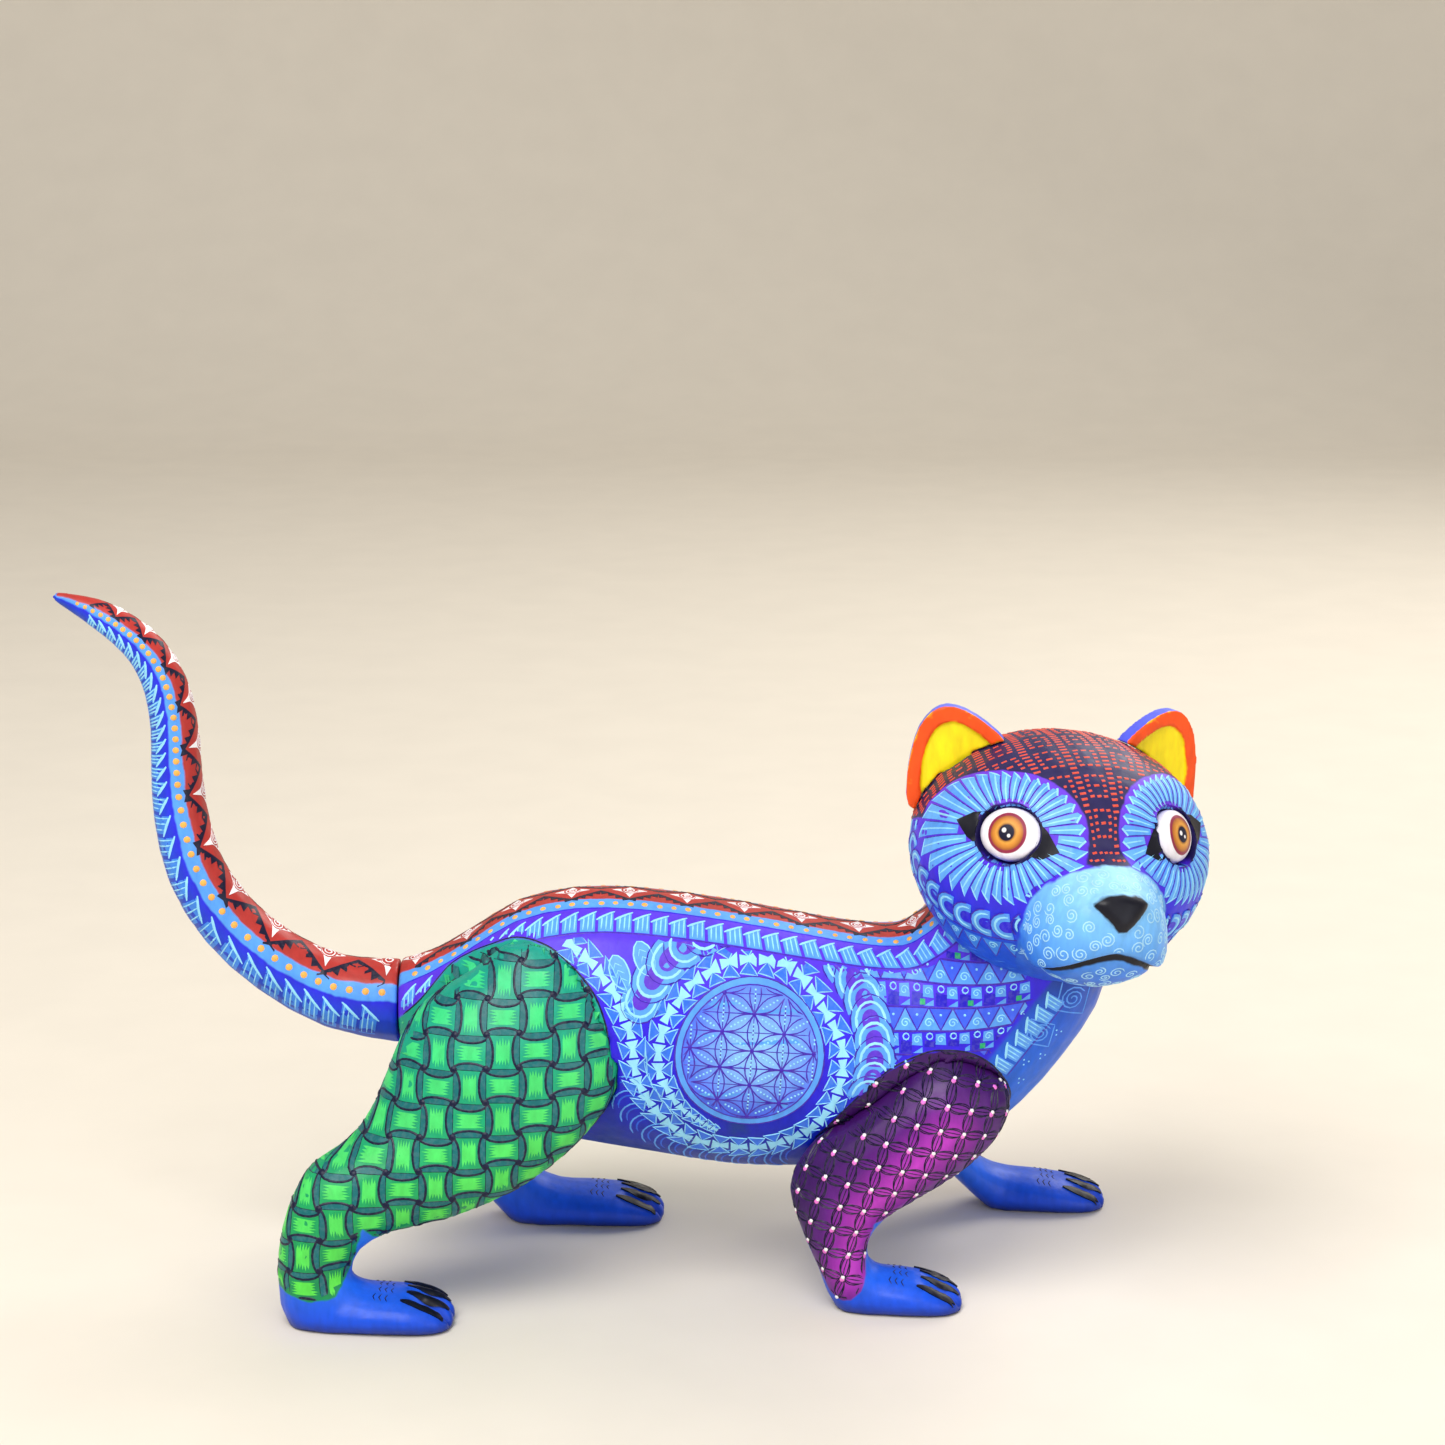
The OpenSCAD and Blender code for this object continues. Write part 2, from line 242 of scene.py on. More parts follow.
def normals_of(skin):
    flat = np.zeros(len(skin.data.vertices) * 3, np.float32)
    skin.data.vertices.foreach_get("normal", flat)
    return flat.reshape(-1, 3).astype(float)


def move_points(skin, points):
    skin.data.vertices.foreach_set("co", (points * MM).astype(np.float32).ravel())
    skin.data.update()


def set_measure(skin, name, values):
    """Stores one number per vertex for the material to read."""
    attribute = skin.data.attributes.new(name, "FLOAT", "POINT")
    attribute.data.foreach_set("value", np.asarray(values, np.float32))


def set_colours(mesh, name, colours):
    """Stores one colour per vertex for the material to read."""
    attribute = mesh.attributes.new(name, "FLOAT_COLOR", "POINT")
    attribute.data.foreach_set("color", np.asarray(colours, np.float32).ravel())


def ramp(values, stops):
    """Colours for the values, from stops of (value, colour) in rising order."""
    places = [s[0] for s in stops]
    return np.stack([np.interp(values, places, [s[1][i] for s in stops]) for i in range(4)], axis=1)


# ---------------------------------------------------------------- where paint lands

class Canvas:
    """Some skins as one ray target. Paint goes where room, a number per vertex of a skin, is above 0."""

    def __init__(self, skins, room=None):
        points, faces, self.open = [], [], []
        for skin in skins:
            first = len(points)
            points += [v.co / MM for v in skin.data.vertices]
            values = None if room is None else room.get(skin.name, np.full(len(skin.data.vertices), -1.0))
            for face in skin.data.polygons:
                corners = list(face.vertices)
                faces.append([first + i for i in corners])
                self.open.append(values is None or values[corners].mean() > 0)
        self.tree = BVHTree.FromPolygons(points, faces)

    def hit(self, origin, direction, anywhere=False):
        """(place, outward normal), or None where the ray misses or meets a face that isn't open to paint."""
        place, normal, index, _ = self.tree.ray_cast(origin, direction)
        if place is None or not (anywhere or self.open[index]):
            return None
        return place, (normal if normal.dot(direction) < 0 else -normal)


# A chart is a function from two measures on the paint, in mm, to a hit on a canvas or None.

def side_chart(canvas, side):
    """Row-frame x and z, seen straight from the side; side is -1 for the figure's right."""
    reach = 120
    return lambda x, z: canvas.hit(Vector((x, middle_y + side * reach, z)), Vector((0, -side, 0)))


def round_chart(canvas, centre, pole, north, radius):
    """East and north along the surface from where the pole leaves it, round a ball of that radius."""
    north = (north - pole * north.dot(pole)).normalized()
    east = north.cross(pole)

    def at(u, v):
        reach = math.hypot(u, v)
        if reach < 1e-6:
            direction = pole
        else:
            turn = reach / radius
            direction = pole * math.cos(turn) + (east * u + north * v) * (math.sin(turn) / reach)
        return canvas.hit(centre + direction * 90, -direction)
    return at


def moved(at, u, v, turn=0.0):
    """The chart as seen from a motif's own middle and turn."""
    cosine, sine = math.cos(turn), math.sin(turn)
    return lambda x, y: at(u + x * cosine - y * sine, v + x * sine + y * cosine)


def scaled(at, half, full):
    """A sleeve's chart with the distance round it scaled so that half(s) counts as full."""
    return lambda s, a: at(s, a * half(s) / full)


class Sleeve:
    """A chart round a limb or trunk: along it, and round it from the zero line, both in mm on the surface."""

    def __init__(self, canvas, stations, reach):
        middles = smooth_path([s[0] for s in stations], 2.0)
        zeros = smooth_path([s[1] for s in stations], 2.0)
        quarters = smooth_path([s[2] for s in stations], 2.0)
        rows = []
        for i, middle in enumerate(middles):
            place = i / (len(middles) - 1)
            rows.append((Vector(middle), Vector(pick(zeros, place)).normalized(),
                         Vector(pick(quarters, place)).normalized()))
        self.canvas, self.rows, self.reach = canvas, rows, reach
        self.turns = np.radians(np.arange(-180, 181, 6))
        self.along, self.around = [0.0], []
        last = None
        for row in rows:
            arcs, place = self.arcs(row)
            self.around.append(arcs)
            if last is not None:
                self.along.append(self.along[-1] + float(np.linalg.norm(place - last)))
            last = place
        self.length = self.along[-1]

    def arcs(self, row):
        """The distance round the section at each turn from its zero line, and the place of that zero line."""
        found = [self.cast(row, turn, True) for turn in self.turns]
        places = [np.array(f[0]) if f else np.array(row[0]) for f in found]
        steps = [0.0] + [float(np.linalg.norm(b - a)) for a, b in zip(places, places[1:])]
        arcs = np.cumsum(steps)
        zero = len(self.turns) // 2
        return arcs - arcs[zero], places[zero]

    def cast(self, row, turn, anywhere):
        middle, zero, quarter = row
        direction = zero * math.cos(turn) + quarter * math.sin(turn)
        return self.canvas.hit(middle + direction * self.reach, -direction, anywhere)

    def net(self, gap):
        """Places cast all over the sleeve, with the two measures of each."""
        places, values = [], []
        for s in np.arange(self.along[0] + gap, self.along[-1] - gap, gap):
            for a in np.arange(-130, 131, gap):
                found = self.at(s, a, True)
                if found:
                    places.append(found[0])
                    values.append((s, a))
        return places, np.array(values)

    def measure(self, points, gap=2.0):
        """The two measures of each point, as arrays, from a flat fit to its nearest places of the net."""
        count = 8
        places, values = self.net(gap)
        tree = KDTree(len(places))
        for i, place in enumerate(places):
            tree.insert(place, i)
        tree.balance()
        chosen = np.array([[hit[1] for hit in tree.find_n(point, count)] for point in points])
        places = np.array(places)
        sign = np.where(values[chosen[:, 0], 1] < 0, -1.0, 1.0)
        offsets = places[chosen] - points[:, None, :]
        weights = 1 / ((offsets ** 2).sum(axis=2) + 0.3)
        rows = np.concatenate([offsets, np.ones((len(points), count, 1))], axis=2)
        targets = np.stack([values[chosen, 0], np.abs(values[chosen, 1])], axis=2)
        weighted = rows * weights[:, :, None]
        square = np.einsum("nki,nkj->nij", weighted, rows) + np.diag((0.02, 0.02, 0.02, 0.0))
        fitted = np.linalg.solve(square, np.einsum("nki,nkj->nij", weighted, targets))[:, 3]
        return fitted[:, 0], fitted[:, 1] * sign

    def at(self, s, a, anywhere=False):
        if not self.along[0] <= s <= self.along[-1]:
            return None
        after = min(max(int(np.searchsorted(self.along, s)), 1), len(self.rows) - 1)
        start, end = self.along[after - 1], self.along[after]
        share = (s - start) / max(end - start, 1e-6)
        around = self.around[after - 1:after + 1]
        if not max(arcs[0] for arcs in around) < a < min(arcs[-1] for arcs in around):
            return None
        turns = [np.interp(a, arcs, self.turns) for arcs in around]
        row = [first.lerp(second, share) for first, second in zip(self.rows[after - 1], self.rows[after])]
        return self.cast(row, turns[0] + (turns[1] - turns[0]) * share, anywhere)


class LevelSleeve(Sleeve):
    """A sleeve cut level: its measures are z, and x that turns to arc length round the edges."""

    def __init__(self, canvas, skin, side, low, high):
        step, half_slice = 2.0, 1.5
        points = points_of(skin)
        self.canvas, self.reach = canvas, 60
        self.turns = np.radians(np.arange(-180, 181, 6))
        self.rows, self.along, self.around = [], [], []
        for z in np.arange(low, high, step):
            near = points[np.abs(points[:, 2] - z) < half_slice]
            if len(near):
                middle = (near.min(axis=0) + near.max(axis=0)) / 2
            row = (Vector((middle[0], middle[1], z)), Vector((0, side, 0)), Vector((1, 0, 0)))
            arcs, _ = self.arcs(row)
            self.rows.append(row)
            self.along.append(float(z))
            self.around.append(arcs + middle[0])
        self.length = self.along[-1]


def pick(rows, place):
    """The row of an evenly spaced list at that share of its length, between its neighbours."""
    spot = place * (len(rows) - 1)
    low = min(int(spot), len(rows) - 2)
    return tuple(a + (b - a) * (spot - low) for a, b in zip(rows[low], rows[low + 1]))


class Ribbon:
    """A chart along a curve drawn in another chart: along the curve, and across it to its left."""

    def __init__(self, chart, points):
        self.chart = chart
        self.path = smooth_path(points, 1.0)
        self.marks = np.cumsum([0.0] + [math.dist(a, b) for a, b in zip(self.path, self.path[1:])])
        self.length = float(self.marks[-1])

    def spot(self, s, t):
        """The base chart's measures at s along and t across."""
        after = min(max(int(np.searchsorted(self.marks, s)), 1), len(self.path) - 1)
        start, end = self.path[after - 1], self.path[after]
        span = math.dist(start, end)
        share = (s - self.marks[after - 1]) / max(span, 1e-6)
        along = ((end[0] - start[0]) / span, (end[1] - start[1]) / span)
        return (start[0] + (end[0] - start[0]) * share - along[1] * t,
                start[1] + (end[1] - start[1]) * share + along[0] * t)

    def at(self, s, t):
        return self.chart(*self.spot(s, t))


# ---------------------------------------------------------------- paint

def leaps(start, end, measured):
    """Whether two hits lie much further apart than the chart says, and not along one steep surface."""
    step = end[0] - start[0]
    off_surface = max(abs(step.dot(start[1])), abs(step.dot(end[1]))) > 0.45 * step.length
    return step.length > (2.6 if off_surface else 7.0) * measured + 0.8


class Coat:
    """Gathers strokes and fills of thick paint into one closed mesh."""

    def __init__(self, name, step=1.4):
        self.name, self.step = name, step
        self.points, self.faces, self.colours = [], [], []

    def stroke(self, at, points, colour, width, height, lift=0.0):
        """A raised line of paint along the points."""
        run = []
        last = None
        for spot in even_steps(points, self.step):
            found = at(*spot)
            if found is None or (run and leaps(run[-1], found, math.dist(last, spot))):
                self.bead(run, colour, width, height)
                run = []
            if found is not None:
                run.append((found[0] + found[1] * lift, found[1]))
            last = spot
        self.bead(run, colour, width, height)

    def bead(self, run, colour, width, height):
        if len(run) < 2:
            return
        first = len(self.points)
        last = len(run) - 1
        for i, (place, normal) in enumerate(run):
            ahead = run[min(i + 1, last)][0] - run[max(i - 1, 0)][0]
            across = ahead.cross(normal)
            if across.length < 1e-6:
                across = normal.orthogonal()
            across.normalize()
            taper = 0.45 if i in (0, last) and last > 2 else 1.0
            self.points += [place + across * (width / 2 * taper) - normal * 0.05,
                            place + normal * (height * taper),
                            place - across * (width / 2 * taper) - normal * 0.05]
        for i in range(last):
            a = first + 3 * i
            self.faces += [(a, a + 3, a + 4, a + 1), (a + 1, a + 4, a + 5, a + 2), (a + 2, a + 5, a + 3, a)]
        end = first + 3 * last
        self.faces += [(first, first + 1, first + 2), (end + 2, end + 1, end)]
        self.colours += [colour] * (3 * (last + 1))

    def fill(self, at, outline, colour, lift, grain=1.8):
        """A flat patch of paint inside the outline, in one colour or a function of the chart's measures."""
        border = even_steps(list(outline) + [outline[0]], grain)[:-1]
        low_u, low_v = min(p[0] for p in border), min(p[1] for p in border)
        high_u, high_v = max(p[0] for p in border), max(p[1] for p in border)
        grid = [(low_u + grain * (i + 0.5), low_v + grain * (j + 0.5))
                for i in range(int((high_u - low_u) / grain)) for j in range(int((high_v - low_v) / grain))]
        if grid:
            depth = inside_distance(grid, border)
            grid = [spot for spot, deep in zip(grid, depth) if deep > grain * 0.45]
        spots = border + grid
        edges = [(i, (i + 1) % len(border)) for i in range(len(border))]
        made = delaunay_2d_cdt([Vector(p) for p in spots], edges, [], 1, 1e-5)
        found = [at(p.x, p.y) for p in made[0]]
        whole = [f for f in made[2] if all(found[i] is not None for i in f)
                 and not any(leaps(found[i], found[j], (made[0][i] - made[0][j]).length)
                             for i, j in zip(f, f[1:] + f[:1]))]
        if not whole:
            return
        tone = colour if callable(colour) else (lambda u, v: colour)
        self.slab(found, whole, [tone(p.x, p.y) for p in made[0]], lift)

    def slab(self, found, triangles, colours, lift):
        """A closed sheet: the triangles above the surface, the same under it, walls round the rim."""
        a, b, c = (found[i] for i in triangles[0])
        if (b[0] - a[0]).cross(c[0] - a[0]).dot(a[1]) < 0:
            triangles = [tuple(reversed(t)) for t in triangles]
        used = sorted({i for t in triangles for i in t})
        first = len(self.points)
        place = {old: first + 2 * new for new, old in enumerate(used)}
        for old in used:
            spot, normal = found[old]
            self.points += [spot + normal * lift, spot - normal * 0.1]
            self.colours += [colours[old]] * 2
        rims = {}
        for t in triangles:
            self.faces.append(tuple(place[i] for i in t))
            self.faces.append(tuple(place[i] + 1 for i in reversed(t)))
            for start, end in zip(t, t[1:] + t[:1]):
                rims[(start, end)] = True
        for start, end in rims:
            if (end, start) not in rims:
                self.faces.append((place[end], place[start], place[start] + 1, place[end] + 1))

    def dot(self, at, centre, radius, colour, height=0.25, sides=8, lift=0.0):
        """A domed drop of paint."""
        found = at(*centre)
        if found is None:
            return
        normal = found[1]
        place = found[0] + normal * lift
        across = normal.orthogonal().normalized()
        aside = normal.cross(across)
        first = len(self.points)
        for share, rise in ((1.0, -0.06), (0.72, height * 0.72)):
            for i in range(sides):
                angle = 2 * math.pi * i / sides
                spread = across * math.cos(angle) + aside * math.sin(angle)
                self.points.append(place + spread * (radius * share) + normal * rise)
        self.points += [place + normal * height, place - normal * 0.1]
        for i in range(sides):
            j = (i + 1) % sides
            self.faces += [(first + i, first + j, first + sides + j, first + sides + i),
                           (first + sides + i, first + sides + j, first + 2 * sides),
                           (first + j, first + i, first + 2 * sides + 1)]
        self.colours += [colour] * (2 * sides + 2)

    def build(self, material, body, slot):
        """The piece that all of this coat's paint makes."""
        mesh = bpy.data.meshes.new(self.name)
        mesh.from_pydata([p * MM for p in self.points], [], self.faces)
        set_colours(mesh, "paint", self.colours)
        mesh.shade_smooth()
        mesh.set_sharp_from_angle(angle=math.radians(80))
        mesh.materials.append(material)
        piece = bpy.data.objects.new(self.name, mesh)
        bpy.context.scene.collection.objects.link(piece)
        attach(piece, body)
        return piece


# ---------------------------------------------------------------- materials

def new_material(name):
    """(material, its node tree, its shader)."""
    material = bpy.data.materials.new(name)
    material.use_nodes = True
    tree = material.node_tree
    return material, tree, tree.nodes["Principled BSDF"]


def node(tree, kind, inputs=None, **settings):
    """A new node with its settings, and each input linked or set."""
    made = tree.nodes.new(kind)
    for key, value in settings.items():
        setattr(made, key, value)
    for key, value in (inputs or {}).items():
        if isinstance(value, bpy.types.NodeSocket):
            tree.links.new(value, made.inputs[key])
        else:
            made.inputs[key].default_value = value
    return made


def blend_colours(tree, factor, first, second):
    """The colour mix of two sockets or colours."""
    made = node(tree, "ShaderNodeMix", {0: factor, 6: first, 7: second}, data_type="RGBA")
    return made.outputs[2]


def noise(tree, scale, detail, stretch=None):
    """Noise over the object's own space; scale is in features a metre."""
    place = node(tree, "ShaderNodeTexCoord").outputs["Object"]
    if stretch:
        place = node(tree, "ShaderNodeMapping", {"Vector": place, "Scale": stretch}).outputs[0]
    made = node(tree, "ShaderNodeTexNoise", {"Vector": place, "Scale": scale, "Detail": detail})
    return made.outputs["Fac"]


def spread(tree, value, low, high, from_low=0.3, from_high=0.7):
    """The value's middle range, mapped to low to high."""
    made = node(tree, "ShaderNodeMapRange", {"Value": value, "From Min": from_low, "From Max": from_high,
                                             "To Min": low, "To Max": high})
    return made.outputs[0]


def zone_share(tree, name, softness, wobble):
    """1 where the vertex measure of that name is above zero, 0 below, with a hand-painted edge."""
    measure = node(tree, "ShaderNodeAttribute", attribute_name=name).outputs["Fac"]
    waver = spread(tree, noise(tree, 260, 2.0), -wobble / 2, wobble / 2)
    edge = node(tree, "ShaderNodeMath", {0: measure, 1: waver}, operation="ADD").outputs[0]
    made = node(tree, "ShaderNodeMapRange", {"Value": edge, "From Min": -softness, "From Max": softness})
    return made.outputs[0]


def finish_paint(tree, shader, colour, brush=1.0, wear=0.16):
    """Brush streaks, worn edges, uneven gloss and a brushed surface over the colour."""
    streaks = noise(tree, 520, 4.0, (1.0, 1.0, 0.35))
    clouds = noise(tree, 70, 2.0)
    tones = {0: spread(tree, streaks, 0.90, 1.10), 1: spread(tree, clouds, 0.93, 1.07)}
    tone = node(tree, "ShaderNodeMath", tones, operation="MULTIPLY").outputs[0]
    shaded = node(tree, "ShaderNodeVectorMath", {0: colour, 3: tone}, operation="SCALE").outputs[0]
    edges = node(tree, "ShaderNodeNewGeometry").outputs["Pointiness"]
    rubbed = node(tree, "ShaderNodeMath", {0: spread(tree, edges, 0.0, 1.0, 0.58, 0.72),
                                           1: spread(tree, noise(tree, 900, 4.0), 0.0, wear, 0.45, 0.6)},
                  operation="MULTIPLY").outputs[0]
    worn = blend_colours(tree, rubbed, shaded, (0.62, 0.60, 0.66, 1.0))
    tree.links.new(worn, shader.inputs["Base Color"])
    gloss = spread(tree, noise(tree, 240, 3.0), 0.34, 0.52)
    tree.links.new(gloss, shader.inputs["Roughness"])
    relief = node(tree, "ShaderNodeBump", {"Height": streaks, "Strength": 0.22 * brush, "Distance": 0.0005})
    tree.links.new(relief.outputs[0], shader.inputs["Normal"])
    shader.inputs["Coat Weight"].default_value = 0.08
    shader.inputs["Coat Roughness"].default_value = 0.3
    shader.inputs["Specular IOR Level"].default_value = 0.28


def skin_paint(name, zones, softness=0.25, wobble=0.5):
    """Acrylic over a skin: the vertex colour "base", then each (measure, colour or colour's name) in turn."""
    material, tree, shader = new_material(name)
    colour = node(tree, "ShaderNodeAttribute", attribute_name="base").outputs["Color"]
    for measure, top in zones:
        if isinstance(top, str):
            top = node(tree, "ShaderNodeAttribute", attribute_name=top).outputs["Color"]
        colour = blend_colours(tree, zone_share(tree, measure, softness, wobble), colour, top)
    finish_paint(tree, shader, colour)
    return material


def stroke_paint(name):
    """Thick acrylic in each stroke's own colour."""
    material, tree, shader = new_material(name)
    colour = node(tree, "ShaderNodeAttribute", attribute_name="paint").outputs["Color"]
    finish_paint(tree, shader, colour, brush=0.7, wear=0.1)
    return material


def wood(name):
    """Bare turned wood, for the dowels."""
    material, tree, shader = new_material(name)
    place = node(tree, "ShaderNodeTexCoord").outputs["Object"]
    waves = {"Vector": place, "Scale": 260.0, "Distortion": 4.0, "Detail": 3.0}
    rings = node(tree, "ShaderNodeTexWave", waves, wave_type="BANDS", bands_direction="Y").outputs["Fac"]
    grain = spread(tree, rings, 0.15, 0.85, 0.2, 0.8)
    colour = blend_colours(tree, grain, srgb(216, 184, 138), srgb(168, 128, 82))
    tree.links.new(colour, shader.inputs["Base Color"])
    tree.links.new(spread(tree, rings, 0.62, 0.78), shader.inputs["Roughness"])
    relief = node(tree, "ShaderNodeBump", {"Height": rings, "Strength": 0.3, "Distance": 0.0003})
    tree.links.new(relief.outputs[0], shader.inputs["Normal"])
    return material


# ---------------------------------------------------------------- the carved skins

def end_of(name):
    return "hind" if name.startswith("hind") else "fore"


def side_of(name):
    """-1 for a piece on the figure's right, 1 for one on its left."""
    return -1 if name.endswith("right") else 1


LEGS = ("hindleg_right", "hindleg_left", "foreleg_right", "foreleg_left")
torso = skin_of("torso", 1.0, 5)
head = skin_of("head", 0.75, 5)
tail = skin_of("tail", 0.9, 3)
legs = {name: skin_of(name, 0.85, 3) for name in LEGS}
ears = {name: skin_of(name, 0.5, 3) for name in ("ear_right", "ear_left")}


# ---------------------------------------------------------------- sleeves along the trunk, tail and legs

RIGHT = Vector((0, -1, 0))
# The trunk's sections from the rump to the neck: (x, z of its top), (x, z of its underside), y of its middle.
TRUNK = (((-62, 87), (-62, 63), 4.5), ((-44, 94), (-45, 47), 4.5), ((-15, 106), (-15, 37), 4.5),
         ((25, 103), (27, 30), 4.5), ((59, 97), (71, 30), 4.5), ((76, 99), (105, 48), 3.5),
         ((80, 103), (116, 62), 1.5), ((84, 108), (125, 77), -1.5), ((88, 112), (128, 91), -3.5))
# The legs' sections from hip or shoulder to ankle: (x, z of the front), (x, z of the back), y of the middle.
HINDLEG = (((-22, 96), (-34, 96), -14), ((-4, 83), (-54, 82), -17), ((-1, 73), (-61, 72), -19),
           ((-12, 48), (-72, 50), -27), ((-27, 36), (-77, 46), -30), ((-62, 25), (-88, 36), -35),
           ((-71, 20), (-91, 26), -37), ((-73, 13), (-93, 13), -37), ((-73, 8), (-93, 5), -38))
FORELEG = (((87, 68), (79, 68), -20), ((101, 57), (64, 56), -21), ((94, 42), (49, 45), -23),
           ((76, 30), (42, 32), -25), ((64, 19), (46, 18), -26), ((63, 13), (50, 11), -26),
           ((64, 8), (54, 4), -26))
mounts = {m["name"]: Vector(m["pos_m"]) / MM for m in frame["record"]["mounts"]}


class Stance:
    """How a left leg differs from the right one: its foot stands further on and out, its top doesn't."""

    def __init__(self, end, height):
        right, left = mounts[f"sole_{end}_right"], mounts[f"sole_{end}_left"]
        self.stride = left.x - right.x
        self.spread = left.y - (2 * middle_y - right.y)
        self.height = height

    def share(self, z):
        sole = 6
        return (1 - np.clip(np.asarray(z, float) - sole, 0, self.height - sole) / (self.height - sole)) ** 2

    def as_right(self, points, side):
        """Points of either side's leg, as places on the right leg."""
        if side < 0:
            return points
        share = self.share(points[:, 2])
        return np.stack([points[:, 0] - self.stride * share,
                         2 * middle_y - points[:, 1] + self.spread * share, points[:, 2]], axis=1)


stances = {"hind": Stance("hind", 95), "fore": Stance("fore", 75)}


def trunk_stations():
    made = []
    for (top_x, top_z), (low_x, low_z), y in TRUNK:
        middle = ((top_x + low_x) / 2, y, (top_z + low_z) / 2)
        made.append((middle, (top_x - low_x, 0, top_z - low_z), tuple(RIGHT)))
    return made


def tail_stations():
    """Sections across the tail, found by slicing it, from its root to its tip."""
    points = points_of(tail)
    slant = np.array([-1, 0, 1]) / math.sqrt(2)
    level = points @ slant
    root = float(np.dot((torso_low.x, 0, 75), slant))
    tip = float(level.max())
    middles = []
    for cut in np.linspace(root, tip - 1.5, 18):
        middles.append(points[np.abs(level - cut) < 1.4].mean(axis=0))
    # the root's slice also cuts the peg, so its middle is carried back from the next two
    middles[0] = middles[1] * 1.6 - middles[2] * 0.6
    made = []
    for i, middle in enumerate(middles):
        ahead = middles[min(i + 1, len(middles) - 1)] - middles[max(i - 1, 0)]
        made.append((tuple(middle), (ahead[2], 0, -ahead[0]), tuple(RIGHT)))
    return made


trunk = Sleeve(Canvas([torso]), trunk_stations(), 60)
tail_sleeve = Sleeve(Canvas([tail]), tail_stations(), 30)


# ---------------------------------------------------------------- painted zones on the skins

# The tail's peg and the ears' tenons stay bare wood, from this far inside their sockets.
TENON_CLEAR = 0.3
# On the trunk, measured round from the line of the back.
STRIPE_EDGE = 6.5
BAND_EDGE = 10.5
BLADES_EDGE = 20.0
# On the tail, as shares of tail_width.
TAIL_STRIPE = 0.86
TAIL_BAND = 1.28
# Patches that run from the legs onto the trunk, and the plain feet below them, as seen from the right side.
GREEN_PATCH = ((-61, 75), (-56, 80), (-49, 88), (-43, 92), (-37, 95), (-30, 97.5), (-22, 96.5), (-15, 92),
               (-9.5, 86), (-6.5, 79), (-5, 71), (-5, 64), (-8, 57), (-20, 40), (-60, 40), (-75, 60))
PURPLE_PATCH = ((49, 45), (57, 54.5), (67, 64.5), (77, 69.5), (83, 70.5), (89, 70), (94, 67.5), (98, 63),
                (101, 56), (100, 48), (85, 34), (60, 34), (48, 38))
HIND_FOOT = ((-69.5, 28), (-71.5, 21), (-73.5, 15), (-76.5, 10), (-83, 8.8), (-90, 10.5), (-97, 14),
             (-97, -6), (-30, -6), (-30, 14), (-60, 18))
FORE_FOOT = ((64.5, 25), (62.8, 17), (62.2, 10.8), (61, 7.2), (58.5, 4.8), (55.5, 4), (53, 5.8),
             (50.5, 10), (47, 18), (44, 25), (38, 25), (38, -6), (102, -6), (102, 18), (75, 24))
CHEST_LINE = (Vector((93.5, 66.5)), Vector((108.5, 87.5)))
PATCHES = {"hind": GREEN_PATCH, "fore": PURPLE_PATCH}
FEET = {"hind": HIND_FOOT, "fore": FORE_FOOT}
OUTLINES = {"hind": HINDLEG, "fore": FORELEG}


def patch_on_trunk(points, end):
    """How far trunk points are inside the leg's patch of their own side."""
    made = np.full(len(points), -50.0)
    for side in (-1, 1):
        own = (points[:, 1] - middle_y) * side > 0
        seen = stances[end].as_right(points[own], side)
        clear_of_middle = np.abs(points[own][:, 1] - middle_y) - {"hind": 9, "fore": 16}[end]
        made[own] = np.minimum(inside_distance(seen[:, [0, 2]], PATCHES[end]), clear_of_middle)
    return made


def patch_on_leg(points, end, side):
    """How far leg points are inside the patch: above the foot, and not far round to the inner side."""
    seen = stances[end].as_right(points, side)
    rows = sorted(OUTLINES[end], key=lambda row: row[0][1] + row[1][1])
    levels = [(front[1] + back[1]) / 2 for front, back, _ in rows]
    inner = np.interp(seen[:, 2], levels, [y for _, _, y in rows]) + {"hind": 3.0, "fore": 0.5}[end]
    return np.minimum(-inside_distance(seen[:, [0, 2]], FEET[end]), inner - seen[:, 1])


def ahead_of_chest_line(points):
    """How far points are in front of the line where the patterned neck ends and the plain chest begins."""
    low, high = CHEST_LINE
    along = (high - low).normalized()
    return (points[:, 0] - low.x) * along.y - (points[:, 2] - low.y) * along.x


def green_tones(points):
    """Blue-green above, yellow-green lower down and to the front."""
    return ramp(points[:, 2] - points[:, 0] * 0.15, ((8, srgb(16, 118, 70)), (45, srgb(22, 160, 92)),
                                                     (80, srgb(16, 160, 124)), (110, srgb(14, 150, 140))))


def purple_tones(points):
    """Magenta along the middle of the limb, dark purple towards its edges."""
    core = [np.array(spot) for spot in ((84, 50), (72, 39), (61, 28), (58, 12))]
    away = np.full(len(points), 99.0)
    for start, end in zip(core, core[1:]):
        run = end - start
        share = np.clip((points[:, [0, 2]] - start) @ run / (run @ run), 0, 1)
        away = np.minimum(away, np.linalg.norm(points[:, [0, 2]] - start - share[:, None] * run, axis=1))
    return ramp(away, ((0, srgb(186, 54, 190)), (4, srgb(150, 36, 164)), (9, srgb(92, 18, 124)),
                       (15, PURPLE)))


